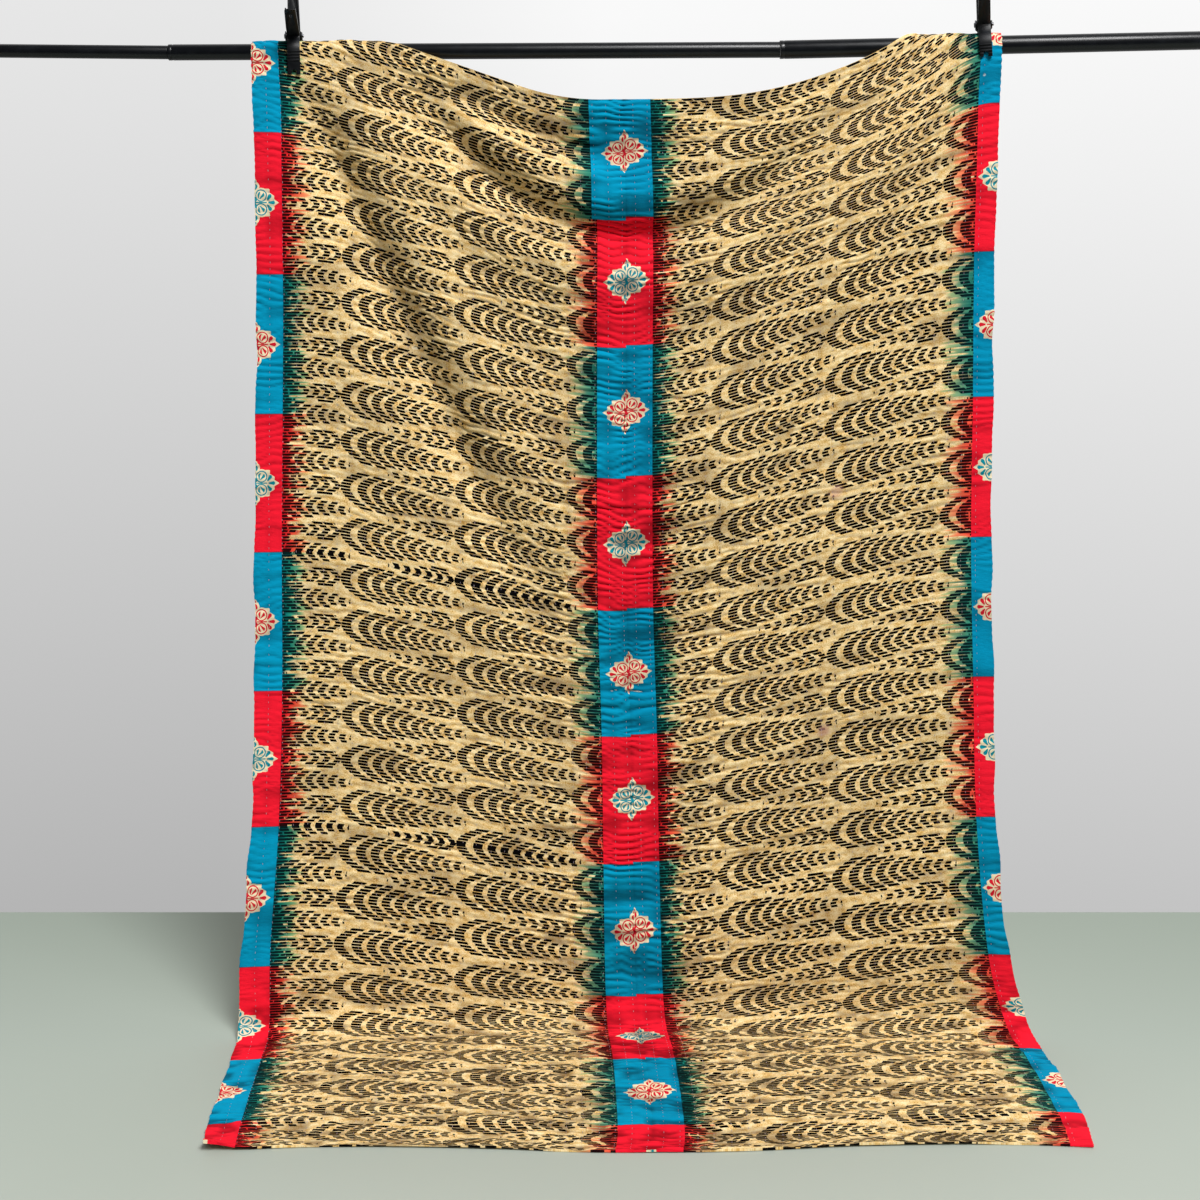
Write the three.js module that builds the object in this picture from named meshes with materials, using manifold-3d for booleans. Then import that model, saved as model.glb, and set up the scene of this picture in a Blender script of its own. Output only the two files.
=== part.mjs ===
// A kantha quilt of two printed sari lengths, hung over a telescopic rod by two spring clamps.
// Its upper edge sags between the clamps, and its lower end lies forward on the floor.
// Millimetres. X runs along the rod, Y away from the viewer and Z up from the floor.

import * as THREE from 'three';
import { mergeVertices } from 'three/addons/utils/BufferGeometryUtils.js';
import Module from 'manifold-3d';

const wasm = await Module();
wasm.setup();

const degrees = THREE.MathUtils.degToRad;

// Cloth
const CLOTH_THICKNESS = 2.4;
const QUILTING_RELIEF = 1.0;
const SEAM_GAP = 0.3;
const ROD_CLEARANCE = 2.0;
const COLUMNS_PER_PANEL = 24;
const FLOOR_BEND_RADIUS = 50;
const MIDDLE_FLOOR_LINE = -25;
const EDGE_FLOOR_ADVANCE = -50;

// Printed blocks, measured down the flat cloth from its top hem
const FIRST_BLOCK = 220;
const BLOCK_LENGTH = 240;
const LAST_BLOCK = 96;

// Rod: the ends and joints of its three sections, at the tube's axis
const ROD_POINTS = [
  { x: -1055, z: 1672 },
  { x: -730, z: 1669 },
  { x: 304, z: 1673.5 },
  { x: 1055, z: 1690 },
];
const ROD_SECTIONS = [
  { name: 'rod_left_section', radius: 11.5 },
  { name: 'rod_middle_section', radius: 13.5 },
  { name: 'rod_right_section', radius: 15.5 },
];
const ROD_CHAMFER = 1.2;
const ROD_JOINT_GAP = 0.6;
const ROD_SIDES = 32;
const ROD_STEP_BLEND = 100;

// Spring clamps: where each grips the rod, how high its pivot sits over the rod's axis and how far its
// jaws reach down from the pivot
const CLAMPS = [
  { side: 'left', x: -517, rodRadius: 13.5, pivotHeight: 26.5, jawReach: 67 },
  { side: 'right', x: 651, rodRadius: 15.5, pivotHeight: 34.5, jawReach: 56 },
];
// Degrees by which each clamp tips sideways and turns on the rod, and its two handles lean outward
const CLAMP_ANGLES = {
  left: { tip: -1.5, turn: 5.5, front: 63, back: 2 },
  right: { tip: -3.5, turn: -9, front: 52, back: 2 },
};
const LEVERS = [
  { face: 'front', outward: -1, earInner: 7.3, earOuter: 10.2 },
  { face: 'back', outward: 1, earInner: 10.9, earOuter: 13.9 },
];
const JAW_GAP = 3.6;
const LEVER_WALL = 4;
const LEVER_HALF_WIDTH = 10.5;
const HANDLE_LENGTH = 76;
const HANDLE_TIP_HALF_WIDTH = 9.2;
const HANDLE_CORNER_RADIUS = 4.5;
const HANDLE_HOLE_RADIUS = 2.4;
const HANDLE_HOLE_INSET = 10;
const PIVOT_OFFSET = 10;
const NECK_DEGREES = 52;
const EAR_RADIUS = 6.5;
const EAR_SHOULDER = 3;
const FOOT_NOTCH_HALF_WIDTH = 4;
const FOOT_NOTCH_HEIGHT = 8;
const OUTLINE_MARGIN = 1;
const OUTLINE_DEPTH = 100;
const RIBS = { count: 4, pitch: 5, height: 1.4, baseLow: 3.4, crestLow: 2.6, crestHigh: 1.2, baseHigh: 0.4 };
const PIN_RADIUS = 2.4;
const PIN_HOLE_RADIUS = 2.8;
const PIN_HEAD = { radius: 4.5, start: 14.3, end: 16.3 };
const PIN_SIDES = 16;
const CURVE_STEPS = 6;
const SPRING = { inner: 3.0, outer: 5.8, groove: 1, halfLength: 6.8, coils: 5, sides: 12 };
const WELD_DISTANCE = 1e-4;

// Places of the print's block lines on the hung cloth. X is where the line meets the left edge, the
// middle seam and the right edge. Drop is the way down the front of the fall from the top of the rod,
// and it is negative where the cloth laps over behind the rod.
const BLOCK_LINES = [
  { leftX: -590, leftDrop: -80, seamX: 38, seamDrop: 110, rightX: 677, rightDrop: -100 },
  { leftX: -581, leftDrop: 163, seamX: 44, seamDrop: 311, rightX: 671, rightDrop: 134 },
  { leftX: -579, leftDrop: 402, seamX: 44, seamDrop: 529, rightX: 664, rightDrop: 383 },
  { leftX: -581, leftDrop: 638, seamX: 44, seamDrop: 752, rightX: 663, rightDrop: 628 },
  { leftX: -584, leftDrop: 872, seamX: 46, seamDrop: 979, rightX: 661, rightDrop: 865 },
  { leftX: -585, leftDrop: 1108, seamX: 53, seamDrop: 1197, rightX: 666, rightDrop: 1103 },
  { leftX: -593, leftDrop: 1340, seamX: 57, seamDrop: 1419, rightX: 673, rightDrop: 1342 },
  { leftX: -611, leftDrop: 1580, seamX: 63, seamDrop: 1651, rightX: 696, rightDrop: 1578 },
  { leftX: -607, leftDrop: 1780, seamX: 75, seamDrop: 1823, rightX: 737, rightDrop: 1755 },
  { leftX: -596, leftDrop: 1997, seamX: 80, seamDrop: 2053, rightX: 742, rightDrop: 1985 },
  { leftX: -587, leftDrop: 2084, seamX: 75, seamDrop: 2134, rightX: 734, rightDrop: 2085 },
];

// Shares of the way in from each edge between which the block lines sink to their seam height, at the
// top hem and lower down, and the depth by which the lower way has taken over
const SINK = {
  leftTop: { start: 0.1, end: 0.83 },
  leftLower: { start: 0.2, end: 0.88 },
  rightLower: { start: 0.14, end: 0.88 },
  rightTopPower: 2.4,
  lowerDepth: 500,
};

// Soft folds of the hanging part: a bent line from one point past another to a third, how far the
// cloth stands out along it (a trough is negative) and the fold's half width.
const FOLDS = [
  { fromX: -500, fromZ: 1630, viaX: -300, viaZ: 1190, toX: -70, toZ: 720, depth: -17, width: 30 },
  { fromX: -430, fromZ: 1630, viaX: -220, viaZ: 1210, toX: 0, toZ: 760, depth: 11, width: 45 },
  { fromX: -345, fromZ: 1650, viaX: 30, viaZ: 1120, toX: 460, toZ: 1630, depth: -19, width: 28 },
  { fromX: -270, fromZ: 1620, viaX: 30, viaZ: 1240, toX: 410, toZ: 1600, depth: 13, width: 34 },
  { fromX: -300, fromZ: 1640, viaX: -100, viaZ: 1490, toX: 90, toZ: 1500, depth: -10, width: 22 },
  { fromX: -330, fromZ: 1530, viaX: 30, viaZ: 1030, toX: 440, toZ: 1500, depth: 9, width: 45 },
  { fromX: 626, fromZ: 1630, viaX: 470, viaZ: 1300, toX: 185, toZ: 680, depth: -12, width: 34 },
  { fromX: 560, fromZ: 1620, viaX: 400, viaZ: 1250, toX: 110, toZ: 700, depth: 8, width: 50 },
  { fromX: 200, fromZ: 250, viaX: 310, viaZ: 280, toX: 420, toZ: 330, depth: -8, width: 40 },
  { fromX: -420, fromZ: 160, viaX: -250, viaZ: 190, toX: -90, toZ: 150, depth: -6, width: 45 },
];
const FOLD_STEPS = 16;
const FOLD_FADE = { belowRod: 20, fullBelowRod: 90, aboveFloor: 60, fullAboveFloor: 170 };
const FOLD_TAPER = { start: -0.1, full: 0.2, ease: 0.6, end: 1.1 };

// Steps down the cloth: fine where it wraps the rod and where it bends on to the floor
const ROW_BANDS = [
  { until: 150, step: 10 },
  { until: 1640, step: 55 },
  { until: 1820, step: 26 },
  { until: FIRST_BLOCK + 8 * BLOCK_LENGTH + LAST_BLOCK, step: 80 },
];

// Materials
const clothMaterial = new THREE.MeshStandardMaterial({ color: 0xab8f5f, roughness: 0.95 });
const rodMaterial = new THREE.MeshStandardMaterial({ color: 0x15161a, roughness: 0.4, metalness: 0.3 });
const leverMaterial = new THREE.MeshStandardMaterial({ color: 0x18191b, roughness: 0.55 });
const steelMaterial = new THREE.MeshStandardMaterial({ color: 0x8c8f94, roughness: 0.35, metalness: 1 });

// Numbers

function smooth(value, low, high) {
  return THREE.MathUtils.smoothstep(value, low, high);
}

// A straight ramp from 0 to 1 whose two corners are rounded.
function softRamp(value, { start, end }) {
  const corner = 0.15;
  const along = (value - start) / (end - start);
  if (along <= -corner) return 0;
  if (along < corner) return (along + corner) ** 2 / (4 * corner);
  if (along <= 1 - corner) return along;
  if (along < 1 + corner) return 1 - (1 + corner - along) ** 2 / (4 * corner);
  return 1;
}

function catmullRom(before, from, to, after, t) {
  const slopeFrom = (to - before) / 2;
  const slopeTo = (after - from) / 2;
  const bend = 2 * (from - to) + slopeFrom + slopeTo;
  const lift = 3 * (to - from) - 2 * slopeFrom - slopeTo;
  return ((bend * t + lift) * t + slopeFrom) * t + from;
}

// Rod

function rodHeight(x) {
  const last = ROD_POINTS.length - 2;
  const index = Math.min(last, Math.max(0, ROD_POINTS.findIndex((point) => x < point.x) - 1));
  const from = ROD_POINTS[index];
  const to = ROD_POINTS[index + 1];
  return THREE.MathUtils.mapLinear(x, from.x, to.x, from.z, to.z);
}

function rodRadius(x) {
  const stepX = ROD_POINTS[2].x;
  const blend = smooth(x, stepX - ROD_STEP_BLEND, stepX + ROD_STEP_BLEND);
  return THREE.MathUtils.lerp(ROD_SECTIONS[1].radius, ROD_SECTIONS[2].radius, blend);
}

function rodSection(section, from, to) {
  const axis = new THREE.Vector3(to.x - from.x, 0, to.z - from.z);
  const half = axis.length() / 2 - ROD_JOINT_GAP / 2;
  const { name, radius } = section;
  const profile = [
    new THREE.Vector2(0, -half),
    new THREE.Vector2(radius - ROD_CHAMFER, -half),
    new THREE.Vector2(radius, -half + ROD_CHAMFER),
    new THREE.Vector2(radius, half - ROD_CHAMFER),
    new THREE.Vector2(radius - ROD_CHAMFER, half),
    new THREE.Vector2(0, half),
  ];
  const mesh = new THREE.Mesh(new THREE.LatheGeometry(profile, ROD_SIDES), rodMaterial);
  mesh.name = name;
  mesh.position.set((from.x + to.x) / 2, 0, (from.z + to.z) / 2);
  mesh.quaternion.setFromUnitVectors(new THREE.Vector3(0, 1, 0), axis.normalize());
  return mesh;
}

// Cloth

// The block lines' columns at a distance down the flat cloth.
function linesAt(down) {
  const lineCount = BLOCK_LINES.length;
  const starts = BLOCK_LINES.map((_, index) => {
    if (index === 0) return 0;
    if (index === lineCount - 1) return FIRST_BLOCK + (lineCount - 3) * BLOCK_LENGTH + LAST_BLOCK;
    return FIRST_BLOCK + (index - 1) * BLOCK_LENGTH;
  });
  const after = starts.findIndex((start) => down < start);
  const index = after < 0 ? lineCount - 2 : Math.max(0, after - 1);
  const t = (down - starts[index]) / (starts[index + 1] - starts[index]);
  const at = (offset) => BLOCK_LINES[THREE.MathUtils.clamp(index + offset, 0, lineCount - 1)];
  const columns = {};
  for (const key of Object.keys(BLOCK_LINES[0])) {
    columns[key] = catmullRom(at(-1)[key], at(0)[key], at(1)[key], at(2)[key], t);
  }
  return columns;
}

// How far a block line has sunk from its edge height to its seam height, at a share of the way in.
function sinkShare(side, share, down) {
  const lower = smooth(down, 0, SINK.lowerDepth);
  if (side === 'left') {
    return THREE.MathUtils.lerp(softRamp(share, SINK.leftTop), softRamp(share, SINK.leftLower), lower);
  }
  const top = 1 - (1 - share) ** SINK.rightTopPower;
  return THREE.MathUtils.lerp(top, softRamp(share, SINK.rightLower), lower);
}

// A point of the fall at a drop from the top of the rod: over the rod, down, round and on to the floor.
function fallPoint(drop, x, floorLine) {
  const radius = rodRadius(x) + ROD_CLEARANCE + CLOTH_THICKNESS / 2;
  const axisZ = rodHeight(x);
  const quarter = (radius * Math.PI) / 2;
  if (Math.abs(drop) <= quarter) {
    return { y: -radius * Math.sin(drop / radius), z: axisZ + radius * Math.cos(drop / radius) };
  }
  if (drop < 0) return { y: radius, z: axisZ + drop + quarter };
  const floorZ = CLOTH_THICKNESS / 2;
  const lean = Math.atan2(-floorLine - radius, axisZ - floorZ);
  const turn = Math.PI / 2 - lean;
  const tangent = FLOOR_BEND_RADIUS * Math.tan(turn / 2);
  const straight = (axisZ - floorZ) / Math.cos(lean) - tangent;
  const along = drop - quarter;
  if (along <= straight) {
    return { y: -radius - along * Math.sin(lean), z: axisZ - along * Math.cos(lean) };
  }
  const angle = lean + (along - straight) / FLOOR_BEND_RADIUS;
  const centreY = floorLine - tangent;
  if (angle < Math.PI / 2) {
    return {
      y: centreY + FLOOR_BEND_RADIUS * Math.cos(angle),
      z: floorZ + FLOOR_BEND_RADIUS * (1 - Math.sin(angle)),
    };
  }
  return { y: centreY - (angle - Math.PI / 2) * FLOOR_BEND_RADIUS, z: floorZ };
}

function foldCurve(fold) {
  return new THREE.QuadraticBezierCurve(
    new THREE.Vector2(fold.fromX, fold.fromZ),
    new THREE.Vector2(fold.viaX, fold.viaZ),
    new THREE.Vector2(fold.toX, fold.toZ),
  ).getPoints(FOLD_STEPS);
}

const foldLines = FOLDS.map((fold) => ({ ...fold, points: foldCurve(fold) }));

// How far all the folds push a point of the hanging cloth towards the viewer.
function foldDepth(x, z) {
  const belowRod = rodHeight(x) - z;
  const fade =
    smooth(belowRod, FOLD_FADE.belowRod, FOLD_FADE.fullBelowRod) *
    smooth(z, FOLD_FADE.aboveFloor, FOLD_FADE.fullAboveFloor);
  if (fade === 0) return 0;
  let total = 0;
  for (const { points, depth, width } of foldLines) {
    let nearest = Infinity;
    let share = 0;
    points.forEach((point, index) => {
      const distance = Math.hypot(point.x - x, point.y - z);
      if (distance < nearest) {
        nearest = distance;
        share = index / FOLD_STEPS;
      }
    });
    const { start, full, ease, end } = FOLD_TAPER;
    const taper = smooth(share, start, full) * (1 - smooth(share, ease, end));
    total += depth * taper * Math.exp(-((nearest / width) ** 2));
  }
  return total * fade;
}

// The middle of the cloth's thickness at a share from the outer edge to the seam, and a distance down.
function clothPoint(side, share, down) {
  const lines = linesAt(down);
  const edgeX = side === 'left' ? lines.leftX : lines.rightX;
  const edgeDrop = side === 'left' ? lines.leftDrop : lines.rightDrop;
  const seamX = lines.seamX + (side === 'left' ? -SEAM_GAP / 2 : SEAM_GAP / 2);
  const x = THREE.MathUtils.lerp(edgeX, seamX, share);
  const drop = THREE.MathUtils.lerp(edgeDrop, lines.seamDrop, sinkShare(side, share, down));
  const floorLine = MIDDLE_FLOOR_LINE + EDGE_FLOOR_ADVANCE * (1 - share) ** 2;
  const fall = fallPoint(drop, x, floorLine);
  const front = drop > 0 ? foldDepth(x, fall.z) : 0;
  return new THREE.Vector3(x, fall.y - front, fall.z);
}

// The cloth's outward direction: towards the viewer on the fall, and up on the floor.
function clothNormal(side, share, down) {
  const step = 2;
  const above = clothPoint(side, share, down - step);
  const below = clothPoint(side, share, down + step);
  return new THREE.Vector3(0, below.z - above.z, above.y - below.y).normalize();
}

function rowStations() {
  const stations = [0];
  let start = 0;
  for (const { until, step } of ROW_BANDS) {
    const count = Math.round((until - start) / step);
    for (let index = 1; index <= count; index += 1) {
      stations.push(start + ((until - start) * index) / count);
    }
    start = until;
  }
  return stations;
}

// One quilted length: a sheet of even thickness, with a low ridge between each pair of stitched lines.
function quiltPanel(side) {
  const stations = rowStations();
  const columns = COLUMNS_PER_PANEL;
  const stride = columns + 1;
  const layerSize = stride * stations.length;
  const positions = new Float32Array(layerSize * 2 * 3);
  stations.forEach((down, row) => {
    for (let column = 0; column <= columns; column += 1) {
      const share = side === 'left' ? column / columns : 1 - column / columns;
      const middle = clothPoint(side, share, down);
      const normal = clothNormal(side, share, down);
      const raised = column % 2 === 1 ? QUILTING_RELIEF : 0;
      const index = row * stride + column;
      const front = middle.clone().addScaledVector(normal, CLOTH_THICKNESS / 2 + raised);
      const back = middle.clone().addScaledVector(normal, -CLOTH_THICKNESS / 2);
      front.toArray(positions, index * 3);
      back.toArray(positions, (layerSize + index) * 3);
    }
  });
  const faces = [];
  const quad = (a, b, c, d) => faces.push(a, b, c, a, c, d);
  // Each square is split along the diagonal that keeps its drop, which hugs the rod more closely.
  const square = (a, b, c, d) => (side === 'left' ? quad(b, c, d, a) : quad(a, b, c, d));
  for (let row = 0; row < stations.length - 1; row += 1) {
    for (let column = 0; column < columns; column += 1) {
      const a = row * stride + column;
      const b = a + stride;
      square(a, b, b + 1, a + 1);
      square(layerSize + a, layerSize + a + 1, layerSize + b + 1, layerSize + b);
    }
    const left = row * stride;
    const right = left + columns;
    quad(left, layerSize + left, layerSize + left + stride, left + stride);
    quad(right, right + stride, layerSize + right + stride, layerSize + right);
  }
  const bottom = (stations.length - 1) * stride;
  for (let column = 0; column < columns; column += 1) {
    quad(column, column + 1, layerSize + column + 1, layerSize + column);
    const low = bottom + column;
    quad(low, layerSize + low, layerSize + low + 1, low + 1);
  }
  const geometry = new THREE.BufferGeometry();
  geometry.setAttribute('position', new THREE.BufferAttribute(positions, 3));
  geometry.setIndex(faces);
  const mesh = new THREE.Mesh(geometry, clothMaterial);
  mesh.name = `quilt_${side}_panel`;
  return mesh;
}

// Solids

function toSolid(geometry) {
  const bare = geometry.clone();
  bare.deleteAttribute('normal');
  bare.deleteAttribute('uv');
  const merged = mergeVertices(bare, WELD_DISTANCE);
  return new wasm.Manifold(new wasm.Mesh({
    numProp: 3,
    vertProperties: new Float32Array(merged.attributes.position.array),
    triVerts: new Uint32Array(merged.index.array),
  }));
}

function toMesh(solid, name, material) {
  const { vertProperties, triVerts } = solid.getMesh();
  const geometry = new THREE.BufferGeometry();
  geometry.setAttribute('position', new THREE.BufferAttribute(new Float32Array(vertProperties), 3));
  geometry.setIndex(Array.from(triVerts));
  const mesh = new THREE.Mesh(geometry, material);
  mesh.name = name;
  return mesh;
}

function extrusion(shape, depth) {
  return new THREE.ExtrudeGeometry(shape, { depth, bevelEnabled: false, curveSegments: CURVE_STEPS });
}

// A shape drawn in a side view, outward and up, and drawn out across the clamp's width.
function sideExtrusion(shape, fromX, toX, outward) {
  const basis = new THREE.Matrix4();
  if (outward > 0) {
    basis.set(0, 0, 1, fromX, 1, 0, 0, 0, 0, 1, 0, 0, 0, 0, 0, 1);
  } else {
    basis.set(0, 0, -1, toX, -1, 0, 0, 0, 0, 1, 0, 0, 0, 0, 0, 1);
  }
  return extrusion(shape, toX - fromX).applyMatrix4(basis);
}

// A shape drawn in the front view, across and up, and drawn out from front to back.
function frontExtrusion(shape, depth) {
  const basis = new THREE.Matrix4();
  basis.set(1, 0, 0, 0, 0, 0, -1, depth, 0, 1, 0, 0, 0, 0, 0, 1);
  return extrusion(shape, depth * 2).applyMatrix4(basis);
}

// Clamps

// A lever's side outline: a straight handle, a bowed neck round the rod and a ribbed foot.
function leverSideShape(clamp, lever) {
  const inner = clamp.rodRadius + ROD_CLEARANCE + CLOTH_THICKNESS + JAW_GAP;
  const outer = inner + LEVER_WALL;
  const footZ = clamp.pivotHeight - clamp.jawReach;
  const lean = degrees(CLAMP_ANGLES[clamp.side][lever.face]);
  const neckAngle = degrees(NECK_DEGREES);
  const root = new THREE.Vector2(PIVOT_OFFSET, clamp.pivotHeight);
  const tip = new THREE.Vector2(Math.sin(lean), Math.cos(lean)).multiplyScalar(HANDLE_LENGTH).add(root);
  const neckRadius = inner + LEVER_WALL / 2;
  const neck = new THREE.Vector2(Math.cos(neckAngle), Math.sin(neckAngle)).multiplyScalar(neckRadius);
  const rise = root.clone().sub(neck).normalize();
  const neckSide = new THREE.Vector2(rise.y, -rise.x);
  const handleSide = new THREE.Vector2(Math.cos(lean), -Math.sin(lean));
  const half = handleSide.clone().multiplyScalar(LEVER_WALL / 2);
  const mitre = handleSide.clone().add(neckSide);
  mitre.multiplyScalar(LEVER_WALL / 2 / (1 + handleSide.dot(neckSide)));
  const shape = new THREE.Shape();
  shape.moveTo(tip.x - half.x, tip.y - half.y);
  shape.lineTo(root.x - mitre.x, root.y - mitre.y);
  shape.absarc(0, 0, inner, neckAngle, 0, true);
  shape.lineTo(inner, footZ);
  shape.lineTo(outer, footZ);
  for (let rib = RIBS.count - 1; rib >= 0; rib -= 1) {
    const top = -RIBS.pitch * rib;
    shape.lineTo(outer, top - RIBS.baseLow);
    shape.lineTo(outer + RIBS.height, top - RIBS.crestLow);
    shape.lineTo(outer + RIBS.height, top - RIBS.crestHigh);
    shape.lineTo(outer, top - RIBS.baseHigh);
  }
  shape.absarc(0, 0, outer, 0, neckAngle, false);
  shape.lineTo(root.x + mitre.x, root.y + mitre.y);
  shape.lineTo(tip.x + half.x, tip.y + half.y);
  return shape;
}

// A lever's front outline: a tapered handle with rounded corners and a hole, and a forked foot.
function leverFrontShape(clamp, lever) {
  const footZ = clamp.pivotHeight - clamp.jawReach;
  const underFoot = footZ - OUTLINE_MARGIN;
  const slope = Math.cos(degrees(CLAMP_ANGLES[clamp.side][lever.face]));
  const tipZ = clamp.pivotHeight + HANDLE_LENGTH * slope;
  const cornerX = HANDLE_TIP_HALF_WIDTH - HANDLE_CORNER_RADIUS;
  const cornerZ = tipZ - HANDLE_CORNER_RADIUS;
  const half = LEVER_HALF_WIDTH;
  const earHalf = Math.max(half, lever.earOuter);
  const earLow = clamp.pivotHeight - EAR_RADIUS;
  const earHigh = clamp.pivotHeight + EAR_RADIUS;
  const shape = new THREE.Shape();
  shape.moveTo(FOOT_NOTCH_HALF_WIDTH, underFoot);
  shape.lineTo(half, underFoot);
  shape.lineTo(half, earLow - EAR_SHOULDER);
  shape.lineTo(earHalf, earLow);
  shape.lineTo(earHalf, earHigh);
  shape.lineTo(half, earHigh + EAR_SHOULDER);
  shape.absarc(cornerX, cornerZ, HANDLE_CORNER_RADIUS, 0, Math.PI / 2, false);
  shape.absarc(-cornerX, cornerZ, HANDLE_CORNER_RADIUS, Math.PI / 2, Math.PI, false);
  shape.lineTo(-half, earHigh + EAR_SHOULDER);
  shape.lineTo(-earHalf, earHigh);
  shape.lineTo(-earHalf, earLow);
  shape.lineTo(-half, earLow - EAR_SHOULDER);
  shape.lineTo(-half, underFoot);
  shape.lineTo(-FOOT_NOTCH_HALF_WIDTH, underFoot);
  shape.lineTo(-FOOT_NOTCH_HALF_WIDTH, footZ + FOOT_NOTCH_HEIGHT);
  shape.lineTo(FOOT_NOTCH_HALF_WIDTH, footZ + FOOT_NOTCH_HEIGHT);
  const hole = new THREE.Path();
  hole.absarc(0, tipZ - HANDLE_HOLE_INSET, HANDLE_HOLE_RADIUS, 0, 2 * Math.PI, true);
  shape.holes.push(hole);
  return shape;
}

// The ear that carries the pin: round at the pivot, running out to the lever.
function earShape(clamp) {
  const shape = new THREE.Shape();
  shape.moveTo(PIVOT_OFFSET, clamp.pivotHeight - EAR_RADIUS);
  shape.lineTo(PIVOT_OFFSET, clamp.pivotHeight + EAR_RADIUS);
  shape.lineTo(0, clamp.pivotHeight + EAR_RADIUS);
  shape.absarc(0, clamp.pivotHeight, EAR_RADIUS, Math.PI / 2, (3 * Math.PI) / 2, false);
  const hole = new THREE.Path();
  hole.absarc(0, clamp.pivotHeight, PIN_HOLE_RADIUS, 0, 2 * Math.PI, true);
  shape.holes.push(hole);
  return shape;
}

function clampLever(clamp, lever) {
  const { outward, earInner, earOuter } = lever;
  const width = Math.max(LEVER_HALF_WIDTH, earOuter);
  const strip = toSolid(sideExtrusion(leverSideShape(clamp, lever), -width, width, outward));
  const outline = toSolid(frontExtrusion(leverFrontShape(clamp, lever), OUTLINE_DEPTH));
  let solid = strip.intersect(outline);
  for (const [fromX, toX] of [[-earOuter, -earInner], [earInner, earOuter]]) {
    solid = solid.add(toSolid(sideExtrusion(earShape(clamp), fromX, toX, outward)));
  }
  return toMesh(solid, `clamp_${clamp.side}_${lever.face}_lever`, leverMaterial);
}

// A round piece on the pin's axis, from its profile of radius and place along the axis.
function pivotRound(clamp, name, profile, sides) {
  const points = profile.map(([radius, along]) => new THREE.Vector2(radius, along));
  const mesh = new THREE.Mesh(new THREE.LatheGeometry(points, sides), steelMaterial);
  mesh.name = `clamp_${clamp.side}_${name}`;
  mesh.position.z = clamp.pivotHeight;
  mesh.rotation.z = -Math.PI / 2;
  return mesh;
}

function clampPin(clamp) {
  const { radius, start, end } = PIN_HEAD;
  return pivotRound(clamp, 'pin', [
    [0, -end], [radius, -end], [radius, -start], [PIN_RADIUS, -start],
    [PIN_RADIUS, start], [radius, start], [radius, end], [0, end],
  ], PIN_SIDES);
}

function clampSpring(clamp) {
  const { inner, outer, groove, halfLength, coils, sides } = SPRING;
  const profile = [[inner, -halfLength]];
  const coil = (2 * halfLength) / coils;
  for (let index = 0; index < coils; index += 1) {
    const low = -halfLength + index * coil;
    profile.push([outer - groove, low], [outer, low + coil / 3], [outer, low + (2 * coil) / 3]);
  }
  profile.push([outer - groove, halfLength], [inner, halfLength], [inner, -halfLength]);
  return pivotRound(clamp, 'spring', profile, sides);
}

function springClamp(clamp) {
  const group = new THREE.Group();
  LEVERS.forEach((lever) => group.add(clampLever(clamp, lever)));
  group.add(clampPin(clamp), clampSpring(clamp));
  group.position.set(clamp.x, 0, rodHeight(clamp.x));
  const { tip, turn } = CLAMP_ANGLES[clamp.side];
  group.rotation.set(0, degrees(tip), degrees(turn));
  return group;
}

// The whole hanging, with its origin on the floor under the middle of its outline
const hanging = new THREE.Group();
hanging.add(quiltPanel('left'), quiltPanel('right'));
ROD_SECTIONS.forEach((section, index) => {
  hanging.add(rodSection(section, ROD_POINTS[index], ROD_POINTS[index + 1]));
});
CLAMPS.forEach((clamp) => hanging.add(springClamp(clamp)));
const outline = new THREE.Box3().setFromObject(hanging, true);
const middle = outline.getCenter(new THREE.Vector3());
hanging.position.set(-middle.x, -middle.y, -outline.min.z);

export default hanging;
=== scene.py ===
"""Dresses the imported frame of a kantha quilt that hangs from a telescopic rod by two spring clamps.

The quilt is two printed cotton lengths, quilted by hand and sewn together along the middle. Each length is
a thin closed sheet on the folds of its solid, with the print drawn by nodes over its flat measure. The
running stitches lie on it as threads. Rod sections and clamps replace their solids with finished pieces.
"""

import logging
import math
from collections.abc import Iterator
from contextlib import contextmanager
from dataclasses import dataclass, field, replace
from enum import Enum
from typing import NamedTuple

import bmesh
import bpy
import numpy as np
from mathutils import Euler, Matrix, Vector


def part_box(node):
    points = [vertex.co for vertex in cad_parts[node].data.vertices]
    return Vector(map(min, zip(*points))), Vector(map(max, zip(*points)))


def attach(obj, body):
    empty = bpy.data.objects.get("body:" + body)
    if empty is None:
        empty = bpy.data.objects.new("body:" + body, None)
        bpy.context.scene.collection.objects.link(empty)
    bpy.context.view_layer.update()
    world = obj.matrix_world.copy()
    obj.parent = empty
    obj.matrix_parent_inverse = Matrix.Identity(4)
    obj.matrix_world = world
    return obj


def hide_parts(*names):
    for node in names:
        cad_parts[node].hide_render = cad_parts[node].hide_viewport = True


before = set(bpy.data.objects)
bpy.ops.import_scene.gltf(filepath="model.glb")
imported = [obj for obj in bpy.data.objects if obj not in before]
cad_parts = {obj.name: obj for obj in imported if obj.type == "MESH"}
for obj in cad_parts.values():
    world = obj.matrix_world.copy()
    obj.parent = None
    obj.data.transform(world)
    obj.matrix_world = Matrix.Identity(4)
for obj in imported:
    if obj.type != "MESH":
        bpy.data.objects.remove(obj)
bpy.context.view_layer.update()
BODY = "root"
MM = 0.001
FLAT_MAP = "flat"
# The point attribute that carries the painted shade of the quilting's troughs.
TROUGH_SHADING = "hollow"
MAP_RANGE = "ShaderNodeMapRange"
SEPARATE = "ShaderNodeSeparateXYZ"
NOISE_CELLS = (128, 256)
UPRIGHT = 0.9
SMOOTHED = 40.0
LOG = logging.getLogger("kantha")

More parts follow.
